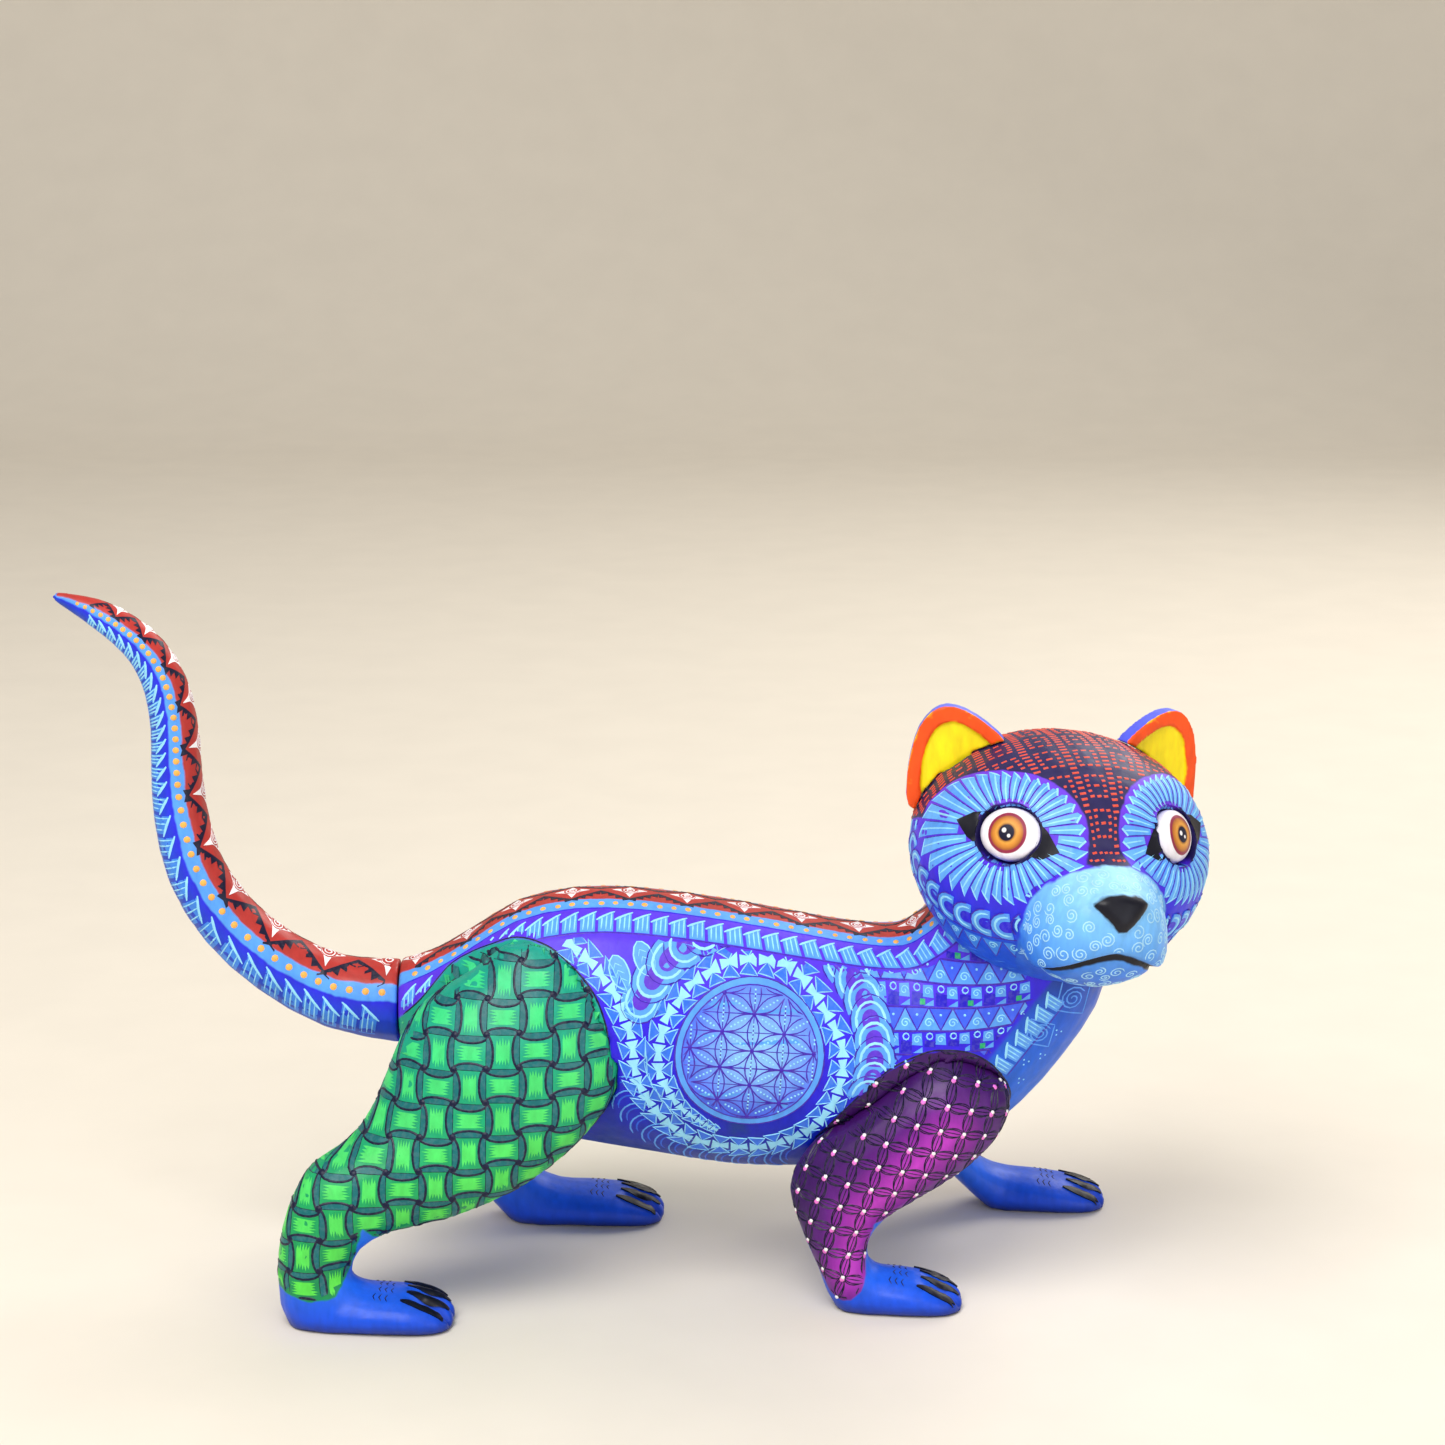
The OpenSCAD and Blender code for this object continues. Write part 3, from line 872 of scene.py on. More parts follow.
def dress_torso():
    points = points_of(torso)
    _, around = trunk.measure(points)
    away = np.abs(around)
    front = ahead_of_chest_line(points)
    base = ramp(away, ((0, srgb(92, 50, 222)), (24, srgb(84, 48, 226)), (42, srgb(52, 30, 226)),
                       (56, ULTRAMARINE), (68, srgb(14, 26, 196)), (78, srgb(10, 34, 170)),
                       (92, srgb(8, 50, 150))))
    # The plain chest: darker low down, and deep navy at the top, which is painted shade where the neck runs
    # under the head.
    chest = ramp(points[:, 2], ((30, srgb(14, 62, 176)), (55, CHEST), (80, srgb(20, 86, 206)),
                                (98, PAINTED_NECK_SHADE)))
    share = np.clip(front[:, None] + 0.5, 0, 1)
    set_colours(torso.data, "base", base * (1 - share) + chest * share)
    set_colours(torso.data, "green", green_tones(points))
    set_colours(torso.data, "purple", purple_tones(points))
    marks = {"away": away, "front": front, "green_patch": patch_on_trunk(points, "hind"),
             "purple_patch": patch_on_trunk(points, "fore")}
    set_measure(torso, "band", np.minimum(BAND_EDGE - away, -front - 1))
    set_measure(torso, "stripe", np.minimum(STRIPE_EDGE - away, -front - 1))
    set_measure(torso, "green_patch", marks["green_patch"])
    set_measure(torso, "purple_patch", marks["purple_patch"])
    zones = (("band", LIGHT_BLUE), ("stripe", BRICK), ("green_patch", "green"), ("purple_patch", "purple"))
    torso.data.materials.append(skin_paint("painted_trunk", zones))
    return marks


def dress_leg(name):
    skin = legs[name]
    end, side = end_of(name), side_of(name)
    points = points_of(skin)
    seen = stances[end].as_right(points, side)
    # Deep blue at the sole, which is painted shade where the foot meets the floor; lighter up the leg and
    # darker again at its top.
    base = ramp(points[:, 2], ((0, srgb(10, 36, 130)), (4, FOOT), (14, srgb(34, 104, 232)),
                               (34, srgb(52, 128, 238)), (70, srgb(30, 84, 214))))
    set_colours(skin.data, "base", base)
    patch = {"hind": green_tones, "fore": purple_tones}[end]
    set_colours(skin.data, "patch_tone", patch(seen))
    inside = patch_on_leg(points, end, side)
    set_measure(skin, "patch", inside)
    skin.data.materials.append(skin_paint("painted_" + name, (("patch", "patch_tone"),)))
    return inside


def dress_tail():
    points = points_of(tail)
    along, around = tail_sleeve.measure(points, 1.0)
    half = tail_width(along)
    away = np.abs(around) / half
    base = ramp(away, ((0.5, srgb(60, 30, 222)), (1.15, srgb(44, 24, 226)), (1.6, srgb(24, 60, 214)),
                       (2.2, srgb(14, 70, 190))))
    set_colours(tail.data, "base", base)
    set_measure(tail, "stripe", (TAIL_STRIPE - away) * half)
    set_measure(tail, "band", (TAIL_BAND - away) * half)
    set_measure(tail, "peg", points[:, 0] - torso_low.x - TENON_CLEAR)
    zones = (("band", LIGHT_BLUE), ("stripe", BRICK), ("peg", BARE_WOOD))
    tail.data.materials.append(skin_paint("painted_tail", zones))


def tail_width(along):
    """About a quarter of the way round the tail at that place along it."""
    tip = tail_sleeve.length
    places = (0, 40, 90, tip - 40, tip - 20, tip - 10, tip)
    return np.interp(along, places, (11.5, 10, 8.6, 7.4, 5.7, 4.4, 1.4))


def eye_measures(points, side):
    """Towards the nose and up from the eye's middle, in mm along the face."""
    pole = np.array(eye_axis(side))
    up = np.array(head_direction(0, 0, 1))
    north = up - pole * (up @ pole)
    north /= np.linalg.norm(north)
    east = np.cross(north, pole) * -side
    spread_out = points - np.array(head_centre)
    direction = spread_out / np.linalg.norm(spread_out, axis=1)[:, None]
    turn = np.arccos(np.clip(direction @ pole, -1, 1))
    scale = FACE_RADIUS * turn / np.maximum(np.sin(turn), 1e-6)
    return direction @ east * scale, direction @ north * scale


# The feathered mask round each eye: its reach towards the nose, towards the ear, up and down.
MASK_IN, MASK_OUT, MASK_UP, MASK_DOWN = 20.5, 28.5, 17.4, 17.5


def beyond_mask(points, side):
    """How far points are outside the mask of that eye."""
    u, v = eye_measures(points, side)
    reach = np.hypot(u, v)
    ratio = np.hypot(u / np.where(u > 0, MASK_IN, MASK_OUT), v / np.where(v > 0, MASK_UP, MASK_DOWN))
    return reach - reach / np.maximum(ratio, 1e-6)


def local_head(points):
    turn = np.array(to_head.to_3x3())
    return (points - np.array(head_centre)) @ turn.T


def crown_inside(points):
    """How far points are inside the dark crown, whose peak runs down between the eyes."""
    local = local_head(points)
    azimuth = np.degrees(np.abs(np.arctan2(local[:, 1], local[:, 0])))
    floor = np.interp(azimuth, (0, 40, 80, 110, 180), (7.0, 10, 12, 6, -4))
    return np.minimum(local[:, 2] - floor, np.minimum(beyond_mask(points, -1), beyond_mask(points, 1)))


def muzzle_inside(points):
    """How far points are inside the pale muzzle."""
    local = local_head(points)
    y, z = local[:, 1], local[:, 2] + 9.5
    ratio = np.hypot(y / 19.4, z / np.where(z > 0, 17.3, 26))
    near = np.hypot(y, z)
    return np.where(local[:, 0] > 14, near / np.maximum(ratio, 1e-6) - near, -20.0)


def mouth_level(y):
    """The head's z of the mouth line at that y: highest in the middle, so that it turns down at both ends."""
    return -13.4 - 8.5 * (np.abs(y) / 18) ** 1.5


NOSE_RIGHT = ((0, 3.2), (5.2, 2.4), (7.6, 0.4), (4.2, -2.9), (1.1, -6.1))
NOSE = NOSE_RIGHT + tuple((-y, z) for y, z in NOSE_RIGHT[:0:-1])


def carve_head():
    """The mouth's groove, the lower jaw set back under it, the nose pad and the hollows round the eyes."""
    points, normals = points_of(head), normals_of(head)
    local = local_head(points)
    x, y, z = local.T
    front = np.clip((x - 25) / 5, 0, 1)
    gap = z - mouth_level(y)
    ends = np.clip((18.0 - np.abs(y)) / 3, 0, 1) * front
    groove = 2.1 * np.exp(-(gap / 1.15) ** 2) * ends
    jaw = 1.5 * np.clip(-gap / 1.6, 0, 1) * np.clip((gap + 16) / 8, 0, 1) * ends
    pad = np.clip((inside_distance(local[:, [1, 2]], NOSE) + 0.4) / 2.4, 0, 1) ** 0.5
    nose = 1.5 * pad * np.clip((x - 40) / 3, 0, 1)
    hollow = np.zeros(len(points))
    for side in (-1, 1):
        u, v = eye_measures(points, side)
        rim = np.hypot(u / 13.5, v / 9.5)
        hollow += 1.3 * np.exp(-((rim - 0.75) / 0.4) ** 2)
    move_points(head, points + normals * (nose - groove - jaw - hollow)[:, None])


def toes_of(points):
    """(x of the toes' tips, y of their middle) of a leg's points."""
    foot = points[points[:, 2] < 9]
    tip = foot[:, 0].max()
    toes = foot[foot[:, 0] > tip - 7]
    return tip, (toes[:, 1].min() + toes[:, 1].max()) / 2


def toe_line(x, number, tip, middle):
    """The y of a line between the toes, or along one, which fan out towards the tips."""
    return middle + (4.6 + (x - tip + 10) * math.tan(math.radians(6))) * number


def carve_toes(name):
    """Three grooves that part the toes, deepest at their tips."""
    skin = legs[name]
    points, normals = points_of(skin), normals_of(skin)
    tip, middle = toes_of(points)
    x, y, z = points.T
    near = np.clip((x - tip + 13) / 11, 0, 1) * (z < 12) * np.clip(z - 0.8, 0, 1)
    depth = np.zeros(len(points))
    for number in (-1, 0, 1):
        off_line = y - toe_line(x, number, tip, middle)
        depth = np.maximum(depth, np.exp(-(off_line / 0.85) ** 2))
    move_points(skin, points - normals * (1.3 * depth * near)[:, None])


def dress_head():
    points = points_of(head)
    local = local_head(points)
    base = ramp(local[:, 2], ((-30, srgb(18, 74, 200)), (-18, srgb(26, 84, 226)), (-8, srgb(38, 40, 224)),
                              (2, srgb(70, 34, 222)), (20, srgb(112, 62, 226))))
    # The muzzle's pale blue paint, bluer down the chin; its palest top, where the muzzle faces up, is partly
    # painted light.
    level = local[:, 2] + 0.3 * (local[:, 0] - 40)
    muzzle = ramp(level, ((-30, srgb(30, 84, 210)), (-17, srgb(56, 128, 232)), (-9, srgb(92, 164, 244)),
                          (0, srgb(122, 192, 250)), (8, MUZZLE_PALE_AND_LIT)))
    set_colours(head.data, "base", base)
    set_colours(head.data, "muzzle_paint_and_light", muzzle)
    set_measure(head, "crown", crown_inside(points))
    set_measure(head, "muzzle", muzzle_inside(points))
    depth = inside_distance(local[:, [1, 2]], NOSE)
    set_measure(head, "nose", np.where(local[:, 0] > 40, depth, -10))
    # A dark ring round each eyeball, which is painted shade where the dome stands out of the head.
    rims = [np.hypot(u / 9.5, v / 8.0) for u, v in (eye_measures(points, side) for side in (-1, 1))]
    set_measure(head, "eye_rim_shade", (1 - np.minimum(*rims)) * 8)
    gap = np.abs(local[:, 2] - mouth_level(local[:, 1]))
    mouth = np.where((local[:, 0] > 27) & (np.abs(local[:, 1]) < 17), 1.0 - gap, -5)
    set_measure(head, "mouth", mouth)
    zones = (("crown", CROWN), ("muzzle", "muzzle_paint_and_light"), ("nose", CLAW), ("mouth", CLAW),
             ("eye_rim_shade", EYE_EDGE_SHADE))
    head.data.materials.append(skin_paint("painted_head", zones))


def rim_plane(points, normals):
    """(middle, normal) of the plane of the ear's flat rim, which stands before its dish."""
    facing = np.array(head_direction(1, 0, 0))
    front = points[normals @ facing > 0.8]
    for _ in range(5):
        middle = front.mean(axis=0)
        normal = np.linalg.svd(front - middle)[2][2]
        facing = normal * np.sign(normal @ facing)
        level = (front - middle) @ facing
        front = front[level > -0.15]
    return middle, facing


def tenon_inside(points, side):
    """How far points are inside the ear's tenon, which leans outwards and back from the head's middle."""
    set_back, set_out = -6, 27
    splay, lean = math.radians(18 * side), math.radians(-50 * side)
    seat, half_width = 35.5, 4.5
    pivot = Matrix.Translation((set_back, set_out * side, 0))
    own = (head_frame @ pivot @ Matrix.Rotation(splay, 4, "Z")
           @ Matrix.Translation((0, -set_out * side, 0)) @ Matrix.Rotation(lean, 4, "X"))
    turn = np.array(own.to_3x3())
    local = (points - np.array(own.translation)) @ turn
    return np.minimum(seat - TENON_CLEAR - local[:, 2], half_width + TENON_CLEAR - np.abs(local[:, 1]))


def dress_ear(name):
    skin = ears[name]
    points, normals = points_of(skin), normals_of(skin)
    middle, facing = rim_plane(points, normals)
    depth = (middle - points) @ facing
    turned = normals @ facing
    base = ramp(points[:, 2], ((130, srgb(30, 50, 216)), (150, srgb(84, 96, 236)),
                               (160, srgb(110, 120, 240))))
    set_colours(skin.data, "base", base)
    set_measure(skin, "rim", np.minimum((turned - 0.35) * 3, 2.2 - depth))
    set_measure(skin, "dish", np.minimum(depth - 0.42, (turned - 0.3) * 3))
    set_measure(skin, "tenon", tenon_inside(points, side_of(name)))
    zones = (("rim", EAR_BORDER), ("dish", EAR_YELLOW), ("tenon", BARE_WOOD))
    skin.data.materials.append(skin_paint("painted_" + name, zones))


carve_head()
for leg_name in LEGS:
    carve_toes(leg_name)
trunk_marks = dress_torso()
dress_tail()
dress_head()
leg_patches = {name: dress_leg(name) for name in LEGS}
for ear_name in ears:
    dress_ear(ear_name)

SLOTS = {"hindleg_right": "painted_green_leg", "hindleg_left": "painted_green_leg",
         "foreleg_right": "painted_purple_leg", "foreleg_left": "painted_blue_leg"}
for skin, body, slot in [(torso, "carving", "painted_trunk"), (head, "carving", "painted_head"),
                         (tail, "tail", "painted_tail"), (ears["ear_right"], "ear_right", "painted_ear"),
                         (ears["ear_left"], "ear_left", "painted_ear"),
                         *[(legs[name], "carving", SLOTS[name]) for name in LEGS]]:
    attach(skin, body)

dowel_wood = wood("bare_wood")
for name, cad in frame["nodes"].items():
    if "dowel" in name:
        cad.data.materials.clear()
        cad.data.materials.append(dowel_wood)


# ---------------------------------------------------------------- painted motifs

def scallop(coat, at, size, lift, core=VIOLET):
    """A fish-scale: a light half disc round towards -x, with a pale arc and a dark core."""
    def arc(radius):
        angles = np.radians(np.linspace(90, 270, 9))
        return [(float(radius * math.cos(t)), float(radius * 0.92 * math.sin(t))) for t in angles]

    def bowl(radius, foot, wing):
        return [(size * foot, size * wing), *arc(size * radius), (size * foot, -size * wing)]

    coat.fill(at, bowl(1.0, 0.35, 0.92), LIGHT_BLUE, 0.08 + lift)
    coat.fill(at, bowl(0.44, 0.35, 0.4), core, 0.12 + lift)
    coat.stroke(at, arc(size * 1.04), LINE_VIOLET, 0.4, 0.14, 0.05 + lift)
    coat.stroke(at, bowl(0.74, 0.25, 0.68), PALE_CYAN, size * 0.17, 0.16, 0.07 + lift)


def feather(coat, at, pitch, height, low_tone=LIGHT_BLUE):
    """A blade: a light leaf with a pale slanting top and pale strokes hanging from it, towards +y."""
    coat.fill(at, [(pitch * 0.1, height * 0.46), (pitch * 0.92, height * 0.14), (pitch * 0.92, height),
                   (pitch * 0.1, height)], low_tone, 0.07)
    coat.stroke(at, [(-pitch * 0.02, height * 0.5), (pitch * 0.98, height * 0.1)], PALE_CYAN, 0.8, 0.16, 0.06)
    for x in (0.3, 0.56, 0.82):
        top = height * (0.5 - 0.4 * x)
        coat.stroke(at, [(pitch * x, top), (pitch * (x - 0.04), height * 0.92)], PALE_CYAN, 0.5, 0.14, 0.06)


def star_link(coat, at, pitch, half):
    """A link of the star chain, along +x: a bright hourglass between two outlined blue kites."""
    for side in (-1, 1):
        kite = [(pitch * 0.4, half * 0.16 * side), (pitch * 0.9, half * 0.8 * side),
                (-pitch * 0.1, half * 1.04 * side)]
        coat.fill(at, kite, srgb(46, 112, 232), 0.08)
        coat.stroke(at, kite + kite[:1], PALE_CYAN, 0.42, 0.14, 0.05)
    coat.fill(at, [(-pitch * 0.02, -half * 0.5), (pitch * 0.4, -half * 0.16), (pitch * 0.86, -half * 0.34),
                   (pitch * 0.86, half * 0.34), (pitch * 0.4, half * 0.16), (-pitch * 0.02, half * 0.5)],
              PALE_CYAN, 0.12)


def toothed(start, end, teeth, depth):
    """A straight line with teeth on its left side."""
    run = np.array(end, float) - np.array(start, float)
    aside = np.array((-run[1], run[0])) / np.linalg.norm(run)
    made = [tuple(start)]
    for i in range(teeth):
        made.append(tuple(np.array(start) + run * (i + 0.5) / teeth + aside * depth))
        made.append(tuple(np.array(start) + run * (i + 1) / teeth))
    return made


def whorl_diamond(coat, at, long, wide):
    """A white diamond with hollow sides round a brick disc that carries a white spiral."""
    quarter = [(long, 0), (long * 0.44, wide * 0.26), (long * 0.24, wide * 0.44), (0, wide)]
    upper = quarter + [(-x, y) for x, y in quarter[-2::-1]]
    outline = upper + [(x, -y) for x, y in upper[-2:0:-1]]
    coat.fill(at, outline, WHITE, 0.08, 1.2)
    size = min(long, wide) * 0.5
    coat.fill(at, ring((0, 0), size, 12)[:-1], BRICK, 0.13, 1.0)
    coat.stroke(at, spiral((0, 0), size * 0.92, 2.0), WHITE, 0.5, 0.14, 0.12)


def stripe_motifs(coat, at, start, end, pitch_at, full):
    """Whorl diamonds along the stripe's middle with black toothed zigzags between them."""
    s = start
    while s < end:
        pitch = pitch_at(s)
        here = moved(at, s, 0)
        whorl_diamond(coat, here, pitch * 0.3, full * 0.74)
        for side in (-1, 1):
            foot, top, next_foot = (0.0, full * side), (pitch / 2, full * 0.24 * side), (pitch, full * side)
            for low, high in ((foot, top), (top, next_foot)):
                teeth = toothed(low, high, 4, full * 0.22 * side)
                foot_line = [(high[0], high[1] - 0.8 * side), (low[0], low[1] - 0.8 * side)]
                coat.fill(here, teeth + foot_line, INK, 0.08, 2.5)
        s += pitch


def dotted(coat, at, start, end, pitch, a, radius, colour):
    """A row of drops of paint at distance a from the chart's zero line."""
    for i in range(int((end - start) / pitch)):
        wander = rng.uniform(-0.15, 0.15)
        coat.dot(at, (start + pitch * (i + 0.5) + wander, a + wander), radius * rng.uniform(0.9, 1.1), colour)


# ---------------------------------------------------------------- the trunk's patterns

trunk_paint = Coat("trunk_paint")
flank_paint = Coat("flank_paint")
off_patches = np.minimum(-trunk_marks["green_patch"], -trunk_marks["purple_patch"]) - 0.3
behind_chest = -trunk_marks["front"] - 0.5
back_room = {torso.name: np.minimum(off_patches, behind_chest)}
below_blades = trunk_marks["away"] - BLADES_EDGE - 0.3
flank_room = {torso.name: np.minimum(np.minimum(off_patches, behind_chest), below_blades)}
everything = [torso, *legs.values()]
trunk.canvas = Canvas(everything, back_room)
flank_canvas = Canvas(everything, flank_room)
chest_canvas = Canvas([torso, head, *legs.values()],
                      {torso.name: np.minimum(trunk_marks["front"], off_patches)})
ROUNDEL = (31.5, 69.5)
ROUNDEL_RADIUS = 19.3


def paint_back(coat):
    """The brick stripe down the back, its dotted blue edges and the row of blades below them."""
    stripe_motifs(coat, trunk.at, 4.0, trunk.length - 4, lambda s: 15.5, STRIPE_EDGE)
    for side in (-1, 1):
        line = [(s, side * (BAND_EDGE + 0.2)) for s in (1, trunk.length - 1)]
        coat.stroke(trunk.at, line, ULTRAMARINE, 0.6, 0.12)
        band_middle = side * (STRIPE_EDGE + BAND_EDGE) / 2
        dotted(coat, trunk.at, 2, trunk.length - 2, 3.9, band_middle, 0.85, ORANGE_DOT)
        pitch = 4.8
        for i in range(int(trunk.length / pitch)):
            blade_chart = moved(trunk.at, i * pitch, 0)
            feather(coat, lambda x, y: blade_chart(x, side * (BAND_EDGE + 0.9 + y)), pitch, 8.0)
        lower = [(s, side * (BLADES_EDGE - 0.2)) for s in (1, trunk.length - 1)]
        coat.stroke(trunk.at, lower, LINE_VIOLET, 0.6, 0.14)


def roundel_tone(x, z):
    """Light blue to the right and middle of the disc, violet-blue to its upper left, deep blue low down."""
    dx, dz = (x - ROUNDEL[0]) / ROUNDEL_RADIUS, (z - ROUNDEL[1]) / ROUNDEL_RADIUS
    bright = max(0.0, 1 - math.hypot(dx - 0.1, dz - 0.05))
    tone = mixed(srgb(76, 112, 240), srgb(136, 192, 255), min(1.0, bright * 1.25))
    return mixed(tone, srgb(52, 78, 226), max(0.0, -dz - 0.4) * 1.1)


def paint_roundel(coat, at):
    """A disc with a light rim, a hexagonal net of petals and rows of dots in them."""
    coat.fill(at, ring(ROUNDEL, ROUNDEL_RADIUS + 0.2, 44)[:-1], LIGHT_BLUE, 0.12, 2.0)
    inner = ROUNDEL_RADIUS - 1.5
    coat.fill(at, ring(ROUNDEL, inner, 40)[:-1], roundel_tone, 0.14, 2.4)
    for radius, width in ((ROUNDEL_RADIUS + 0.3, 0.5), (inner, 0.6)):
        coat.stroke(at, ring(ROUNDEL, radius, 48), LINE_VIOLET, width, 0.15, 0.1)

    def within(x, z):
        inside = math.dist((x, z), ROUNDEL) < inner - 0.2
        return at(x, z) if inside else None

    spacing = 9.4
    tilt = math.radians(-4)
    turns = [tilt + math.radians(90 + 60 * k) for k in range(3)]
    first, second = [(spacing * math.cos(t), spacing * math.sin(t)) for t in turns[:2]]
    for i in range(-3, 4):
        for j in range(-3, 4):
            x = ROUNDEL[0] + 0.6 + first[0] * i + second[0] * j
            z = ROUNDEL[1] + 1.5 + first[1] * i + second[1] * j
            if math.dist((x, z), ROUNDEL) > inner + spacing:
                continue
            for turn in turns:
                petal = moved(within, x, z, turn)
                for bulge in (-1.55, 1.55):
                    bow = [(spacing * t, bulge * math.sin(math.pi * t)) for t in np.linspace(0, 1, 7)]
                    coat.stroke(petal, bow, LINE_VIOLET, 0.5, 0.13, 0.13)
                for k in range(5):
                    coat.dot(petal, (spacing * (0.28 + 0.11 * k), 0), 0.34, PALE_CYAN, 0.18, 6, 0.13)
            for turn in (turns[0], turns[0] + math.pi / 2):
                spoke = moved(within, x, z, turn)
                coat.stroke(spoke, [(0, 0), (spacing * math.sqrt(3), 0)], LINE_VIOLET, 0.4, 0.1, 0.13)
            coat.dot(within, (x, z), 0.75, LINE_VIOLET, 0.16, 6, 0.13)


def about_roundel(radius, degrees):
    angle = math.radians(degrees)
    return (ROUNDEL[0] + radius * math.cos(angle), ROUNDEL[1] + radius * math.sin(angle))


# The star chain: it leaves the rump, runs down the flank, passes under the roundel and winds right round it.
CHAIN = ((-48.2, 28.3), (-38, 19.8), (-31.5, 6.9), (-29, -8.4), (-17, -24.4), (2.8, -27.8), (18.9, -18.4),
         (24.4, 0.6), (12.5, 20.2), (-6.2, 22.8), (-19.7, 13.3), (-24, -1.2), (-18.6, -14.2), (-8.5, -22))


def paint_chain(coat, at):
    ribbon = Ribbon(at, [(ROUNDEL[0] + x, ROUNDEL[1] + z) for x, z in CHAIN])
    s = 0.0
    while s < ribbon.length - 1.5:
        left = ribbon.length - s
        size = min(1.0, 0.35 + left / 40)
        star_link(coat, moved(ribbon.at, s, 0, rng.uniform(-0.12, 0.12)), 5.1 * size, 3.6 * size)
        s += 5.1 * size


def paint_scallops(coat, at):
    """Fish-scales above the roundel on both sides, and rows of plain arches under it."""
    for radius, start, stop, count, size in ((32.0, 158, 96, 6, 5.6), (33.0, 46, -24, 8, 5.6)):
        path = [about_roundel(radius, start + (stop - start) * i / 12) for i in range(13)]
        ribbon = Ribbon(at, path)
        for i in range(count):
            spot = ribbon.length * (i + 0.5) / count
            scallop(coat, moved(ribbon.at, spot, 0), size, 0.035 * i)
    arches = Ribbon(at, [about_roundel(34.5, 194 + 8.5 * i) for i in range(13)])
    for i in range(14):
        here = moved(arches.at, arches.length * (i + 0.5) / 14, 0)
        for size in (4.9, 3.3):
            angles = np.radians(np.linspace(100, 260, 9))
            arc = [(size * math.cos(t), size * math.sin(t)) for t in angles]
            coat.stroke(here, arc, LIGHT_BLUE if size > 4 else srgb(30, 96, 224), 0.65, 0.16)
    for x, z, turn in ((-2.5, 90.5, 115), (4.0, 93.5, 118)):
        leaf = moved(at, x, z, math.radians(turn))
        edge = [(-4, 0), (-1.5, 2.2), (2.5, 2.1), (4.6, 0), (2.5, -2.1), (-1.5, -2.2)]
        coat.fill(leaf, smooth_path(edge, 1.0, True), LIGHT_BLUE, 0.08)
        coat.stroke(leaf, smooth_path(edge, 1.2, True), PALE_CYAN, 0.5, 0.14, 0.06)
        for k in (-1.6, 0.4, 2.2):
            coat.stroke(leaf, [(k - 0.8, -1.2), (k + 0.6, 0.2), (k - 0.6, 1.1)], PALE_CYAN, 0.4, 0.12, 0.07)
    for x, z in ((-14.5, 93.5), (21, 95.0), (-19, 88.0)):
        coat.stroke(at, spiral((x, z), 2.2, 1.8), LIGHT_BLUE, 0.5, 0.14)


def neck_triangle(coat, at, x):
    """A light triangle that holds a spiral, and the darker one upside down beside it."""
    coat.fill(at, [(x - 2.9, -2.6), (x + 2.9, -2.6), (x, 2.7)], LIGHT_BLUE, 0.08)
    coat.fill(at, [(x + 0.4, 2.7), (x + 3.1, -2.3), (x + 5.8, 2.7)], srgb(58, 96, 240), 0.08)
    coat.stroke(at, [(x - 3.1, -2.8), (x, 2.9), (x + 3.1, -2.8)], LINE_VIOLET, 0.45, 0.13, 0.05)
    coat.stroke(at, spiral((x, -0.8), 1.3, 1.4), PALE_CYAN, 0.45, 0.13, 0.07)
    coat.dot(at, (x + 3.1, 1.2), 0.4, PALE_CYAN, 0.16, 6, 0.08)


def neck_check(coat, at, x, with_green):
    """A dark square under a ring, and a light one that holds a spiral."""
    coat.fill(at, [(x - 2.9, -2.4), (x, -2.6), (x + 0.2, 0.4), (x - 2.7, 0.7)], srgb(30, 16, 190), 0.08)
    coat.fill(at, [(x + 0.1, -0.4), (x + 2.9, -0.6), (x + 2.7, 2.5), (x + 0.2, 2.3)], LIGHT_BLUE, 0.08)
    coat.fill(at, [(x + 0.4, -2.5), (x + 2.9, -2.5), (x + 2.9, -1.0)], LIGHT_BLUE, 0.08)
    coat.stroke(at, ring((x - 1.4, 1.7), 0.8, 8), PALE_CYAN, 0.4, 0.13, 0.05)
    coat.stroke(at, spiral((x + 1.5, 0.9), 1.1, 1.3), PALE_CYAN, 0.4, 0.13, 0.07)
    if with_green:
        square = [(x - 0.7, -2.3), (x + 0.7, -2.3), (x + 0.7, -0.9), (x - 0.7, -0.9)]
        coat.fill(at, square, srgb(20, 170, 110), 0.13)


def paint_neck(coat, at):
    """Rows of triangles, checks and little spirals between the scales and the chest."""
    pitch = 6.2
    for row in range(-1, 5):
        level = 90.6 - 5.9 * row

        def row_at(x, y, level=level):
            return at(x, level + y - (x - 62) * 0.1 + 0.004 * (x - 62) ** 2)

        start = 60 + 1.6 * row
        coat.stroke(row_at, [(start, -2.9), (start + 44, -2.9)], LINE_VIOLET, 0.5, 0.13, 0.05)
        for i in range(7):
            x = start + pitch * (i + 0.5)
            if row % 2 == 0:
                neck_triangle(coat, row_at, x)
            else:
                neck_check(coat, row_at, x, i % 2 == 0)


def paint_chest(coat, side):
    """Blades along the chest's edge, two whorls and groups of three dots on the plain blue."""
    at = side_chart(chest_canvas, side)
    low, high = CHEST_LINE
    edge = Ribbon(at, [tuple(low), tuple((low + high) / 2), tuple(high)])
    for i in range(6):
        feather(coat, moved(lambda s, t: edge.at(s, -t), i * 4.4, 0.4), 4.2, 6.5)
    coat.stroke(edge.at, [(0, -7.4), (edge.length, -7.4)], LINE_VIOLET, 0.5, 0.14)
    for x, z, size in ((116.5, 84, 3.6), (108, 74.5, 3.0)):
        coat.stroke(at, spiral((x, z), size, 2.4, 0.4), LIGHT_BLUE, 0.6, 0.16)
        coat.stroke(at, ring((x, z), size * 1.5, 4, 1.2, 0.5), LIGHT_BLUE, 0.55, 0.15)
    for x, z in ((104.5, 66), (109, 67), (103.5, 60), (113, 74)):
        for k in range(3):
            coat.dot(at, (x + 0.9 * math.cos(k * 2.1), z + 0.9 * math.sin(k * 2.1)), 0.32, PALE_CYAN, 0.14, 6)


